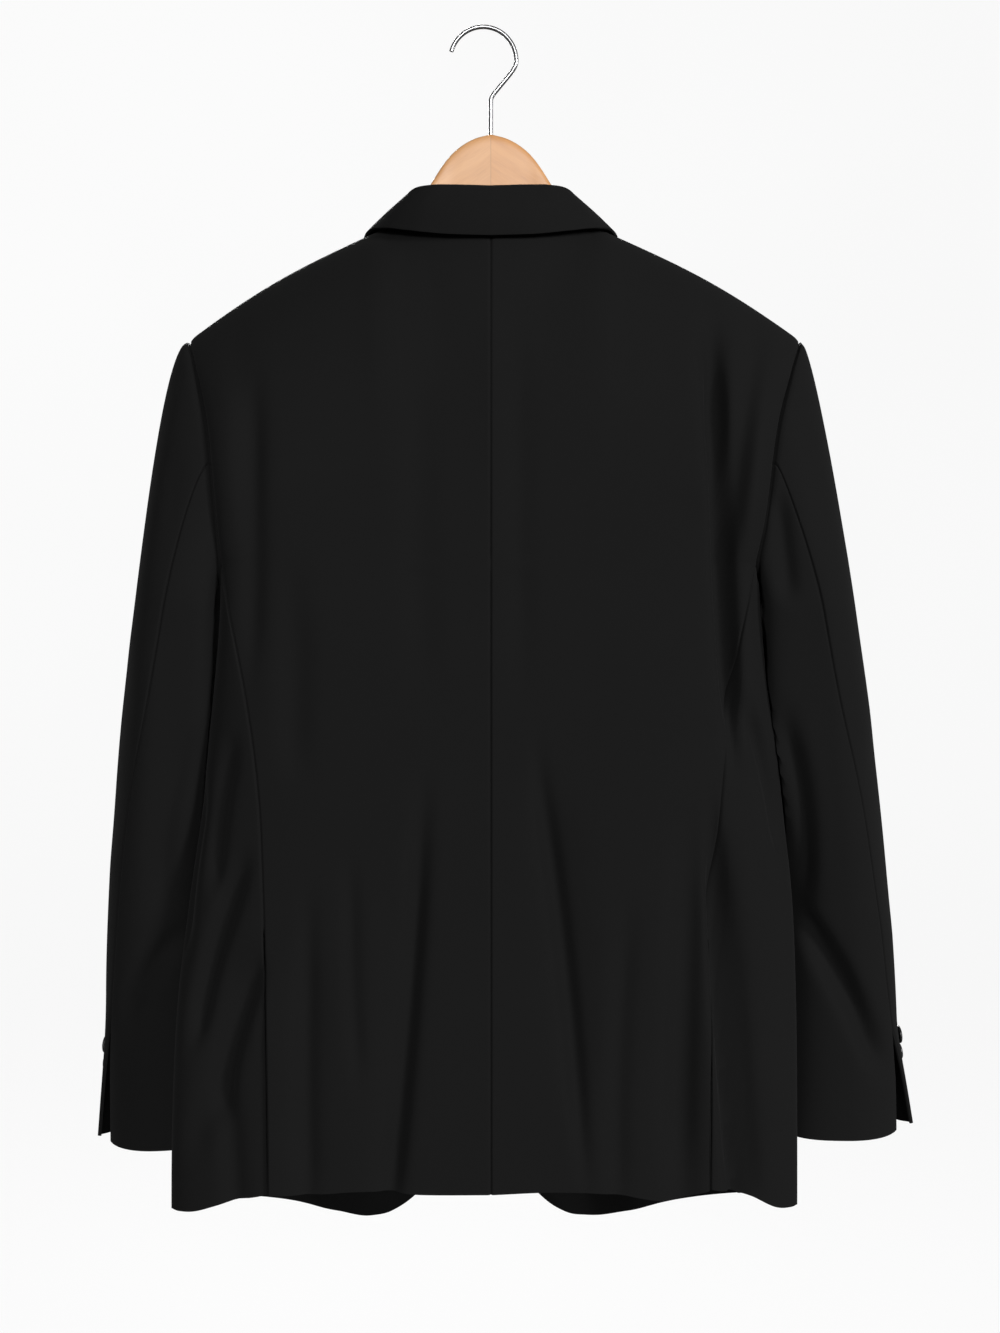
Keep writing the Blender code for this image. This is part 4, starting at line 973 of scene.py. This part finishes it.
# A covered button's outline, from the middle of its back over the rim to the middle of its face
buttonLine = table("radius* height*", [
    (0.2, 0), (0.6, 0), (0.64, 0.06), (0.66, 0.16), (0.9, 0.18), (0.97, 0.26), (1, 0.42), (0.98, 0.6),
    (0.9, 0.76), (0.74, 0.88), (0.5, 0.96), (0.25, 0.99), (0.06, 1),
])
buttonRim = {"segments": 72, "rings": 40, "puckers": 16, "pucker": 0.012, "puckerAt": 0.4,
             "puckerSpread": 0.3, "lean": (0.3, 0.2, 1.0)}
cuffButtons = {"count": 4, "height": 1.93, "step": 0.036, "share": 0.19, "lift": 0.0006, "radius": 0.0075,
               "thickness": 0.0035}
frontButton = {"share": 0.085, "height": 0.652, "lift": 0.0006, "radius": 0.0105, "thickness": 0.0045}


def addButton(name, base, height, button):
    point, outward = onPanel(base, np.array(button["share"]), np.array(height))
    knots = np.linspace(0, 1, len(buttonLine["radius"]))
    radius, rise = (np.interp(np.linspace(0, 1, buttonRim["rings"]), knots, buttonLine[key])[:, None]
                    for key in ("radius", "height"))
    turn = np.linspace(0, 2 * math.pi, buttonRim["segments"], endpoint=False)
    near = bell((rise - buttonRim["puckerAt"]) / buttonRim["puckerSpread"])
    pucker = 1 + buttonRim["pucker"] * np.sin(buttonRim["puckers"] * turn) * near
    along = unit(np.cross(outward, buttonRim["lean"]))
    across = np.cross(outward, along)
    reach = (button["radius"] * radius * pucker)[..., None]
    rings = reach * (along * np.cos(turn)[:, None] + across * np.sin(turn)[:, None])
    rings = rings + point + outward * (button["lift"] + button["thickness"] * rise)[..., None]
    addTube(name, rings, "satin", 50)


jets = {"shares": (0.22, 0.87), "heights": (0.44, 0.461), "lift": 0.0018, "slit": 0.001, "slitWidth": 0.12,
        "wall": 0.0012, "columns": 70, "rows": 25}
welt = {"shares": (0.4, 0.87), "heights": (1.135, 1.235), "slant": 0.2, "lift": 0.0026, "wall": 0.0015,
        "columns": 50, "rows": 12}


def addPockets(fronts):
    across = np.linspace(-1, 1, jets["rows"])
    lift = jets["lift"] - jets["slit"] * bell(across / jets["slitWidth"])
    for side, front in fronts.items():
        points, normals = addPatch(front, jets)
        addSheet("pocketJet" + sideNames[side], points + normals * lift[None, :, None], normals, jets["wall"],
                 "satin", ["front" + sideNames[side]], "satin")
    points, normals = addPatch(fronts[left], welt)
    addSheet("breastWelt", points + normals * welt["lift"], normals, welt["wall"], "satin",
             ["frontLeft"], "satin")


hanger = {
    "line": table("x y z thickness height power*", [
        (0, 0, -81.5, 14, 50, 10), (13.1, 0, -85, 14, 50, 10), (23.1, 0, -90.5, 14, 49, 10),
        (31.6, 0, -97.8, 14, 46, 10), (38.2, 0.5, -106, 13.5, 43, 9), (46, 1, -118, 13, 40, 7),
        (62, 5, -144, 12, 34, 4), (80, 6, -161.5, 12, 32, 3), (105, 4, -170.3, 13, 32, 2.4),
        (130, 3, -180.5, 14, 31, 2.4), (160, 1, -194.5, 16, 30, 2.4), (205, -2, -221.3, 16, 26, 2.4),
        (218, -3, -230.5, 12, 17, 2.4), (223, -3, -236, 6, 6, 2.4),
    ]),
    "columns": 181, "sides": 96,
}
hook = {
    "radius": 0.026, "middle": (0.006, -0.02355), "wire": 0.0017, "turns": (16, 180), "steps": 120,
    "neckSteps": 31, "stemSteps": 30, "sides": 24,
    "neck": table("x z aheadX* aheadZ*", [
        (-13.3, -36, 0.64, -0.77), (-3, -48.2, 0.64, -0.77), (0, -54.5, 0, -1),
    ]),
    "end": -0.1067,
}


def addHanger():
    rows = hanger["line"]
    across = np.linspace(-1, 1, hanger["columns"])
    x = (rows["x"][-1] * np.sin(across * math.pi / 2))[:, None]
    y, z, thickness, height, power = read(rows, np.abs(x), "y", "z", "thickness", "height", "power")
    turn = np.linspace(0, 2 * math.pi, hanger["sides"], endpoint=False)[None, :]
    cos, sin = np.cos(turn), np.sin(turn)
    reach = roundness(cos, sin, power)
    rings = stack(x, y + thickness / 2 * reach * cos, z + height / 2 * (reach * sin - 1))
    addTube("hangerWood", rings, "maple", 60, "hanger")


def addHook():
    turns = np.radians(np.linspace(*hook["turns"], hook["steps"]))
    route = [hook["middle"] + hook["radius"] * stack(np.cos(turns), np.sin(turns))]
    ahead = stack(-np.sin(turns[-1]), np.cos(turns[-1]))
    steps = np.linspace(0, 1, hook["neckSteps"])[1:]
    for x, z, aheadX, aheadZ in zip(*hook["neck"].values()):
        start, end, following = route[-1][-1], stack(x, z), stack(aheadX, aheadZ)
        reach = math.dist(start, end)
        route.append(blendCurve(start, ahead * reach, end, following * reach, steps))
        ahead = following
    stem = np.linspace(hook["neck"]["z"][-1], hook["end"], hook["stemSteps"])[1:]
    route = np.concatenate([*route, stack(0.0, stem)])
    ahead = unit(np.gradient(route, axis=0))
    turn = np.linspace(0, 2 * math.pi, hook["sides"], endpoint=False)
    reach = hook["wire"] * np.cos(turn)
    rings = stack(route[:, :1] - ahead[:, 1:] * reach, hook["wire"] * np.sin(turn),
                  route[:, 1:] + ahead[:, :1] * reach)
    addTube("hookWire", rings, "steel", 50, "hook")


def addCollar():
    columns, rows = (np.linspace(0, 1, collar[count] + 1) for count in ("columns", "rows"))
    piece = panel(collarSurface, columns, rows, 1, [])
    addSheet("collarLeaf", piece["points"], piece["normals"], collar["wall"], "wool",
             ["backLeft", "backRight"], "wool", "collar")


fronts = {side: addBody(side) for side in (left, right)}
print("body made")
for side, front in fronts.items():
    addLapel(front, side)
    addSleeve(side)
addPockets(fronts)
addButton("frontButton", fronts[left], frontButton["height"], frontButton)
addCollar()
print("jacket made")
addHanger()
addHook()
print("hanger made")
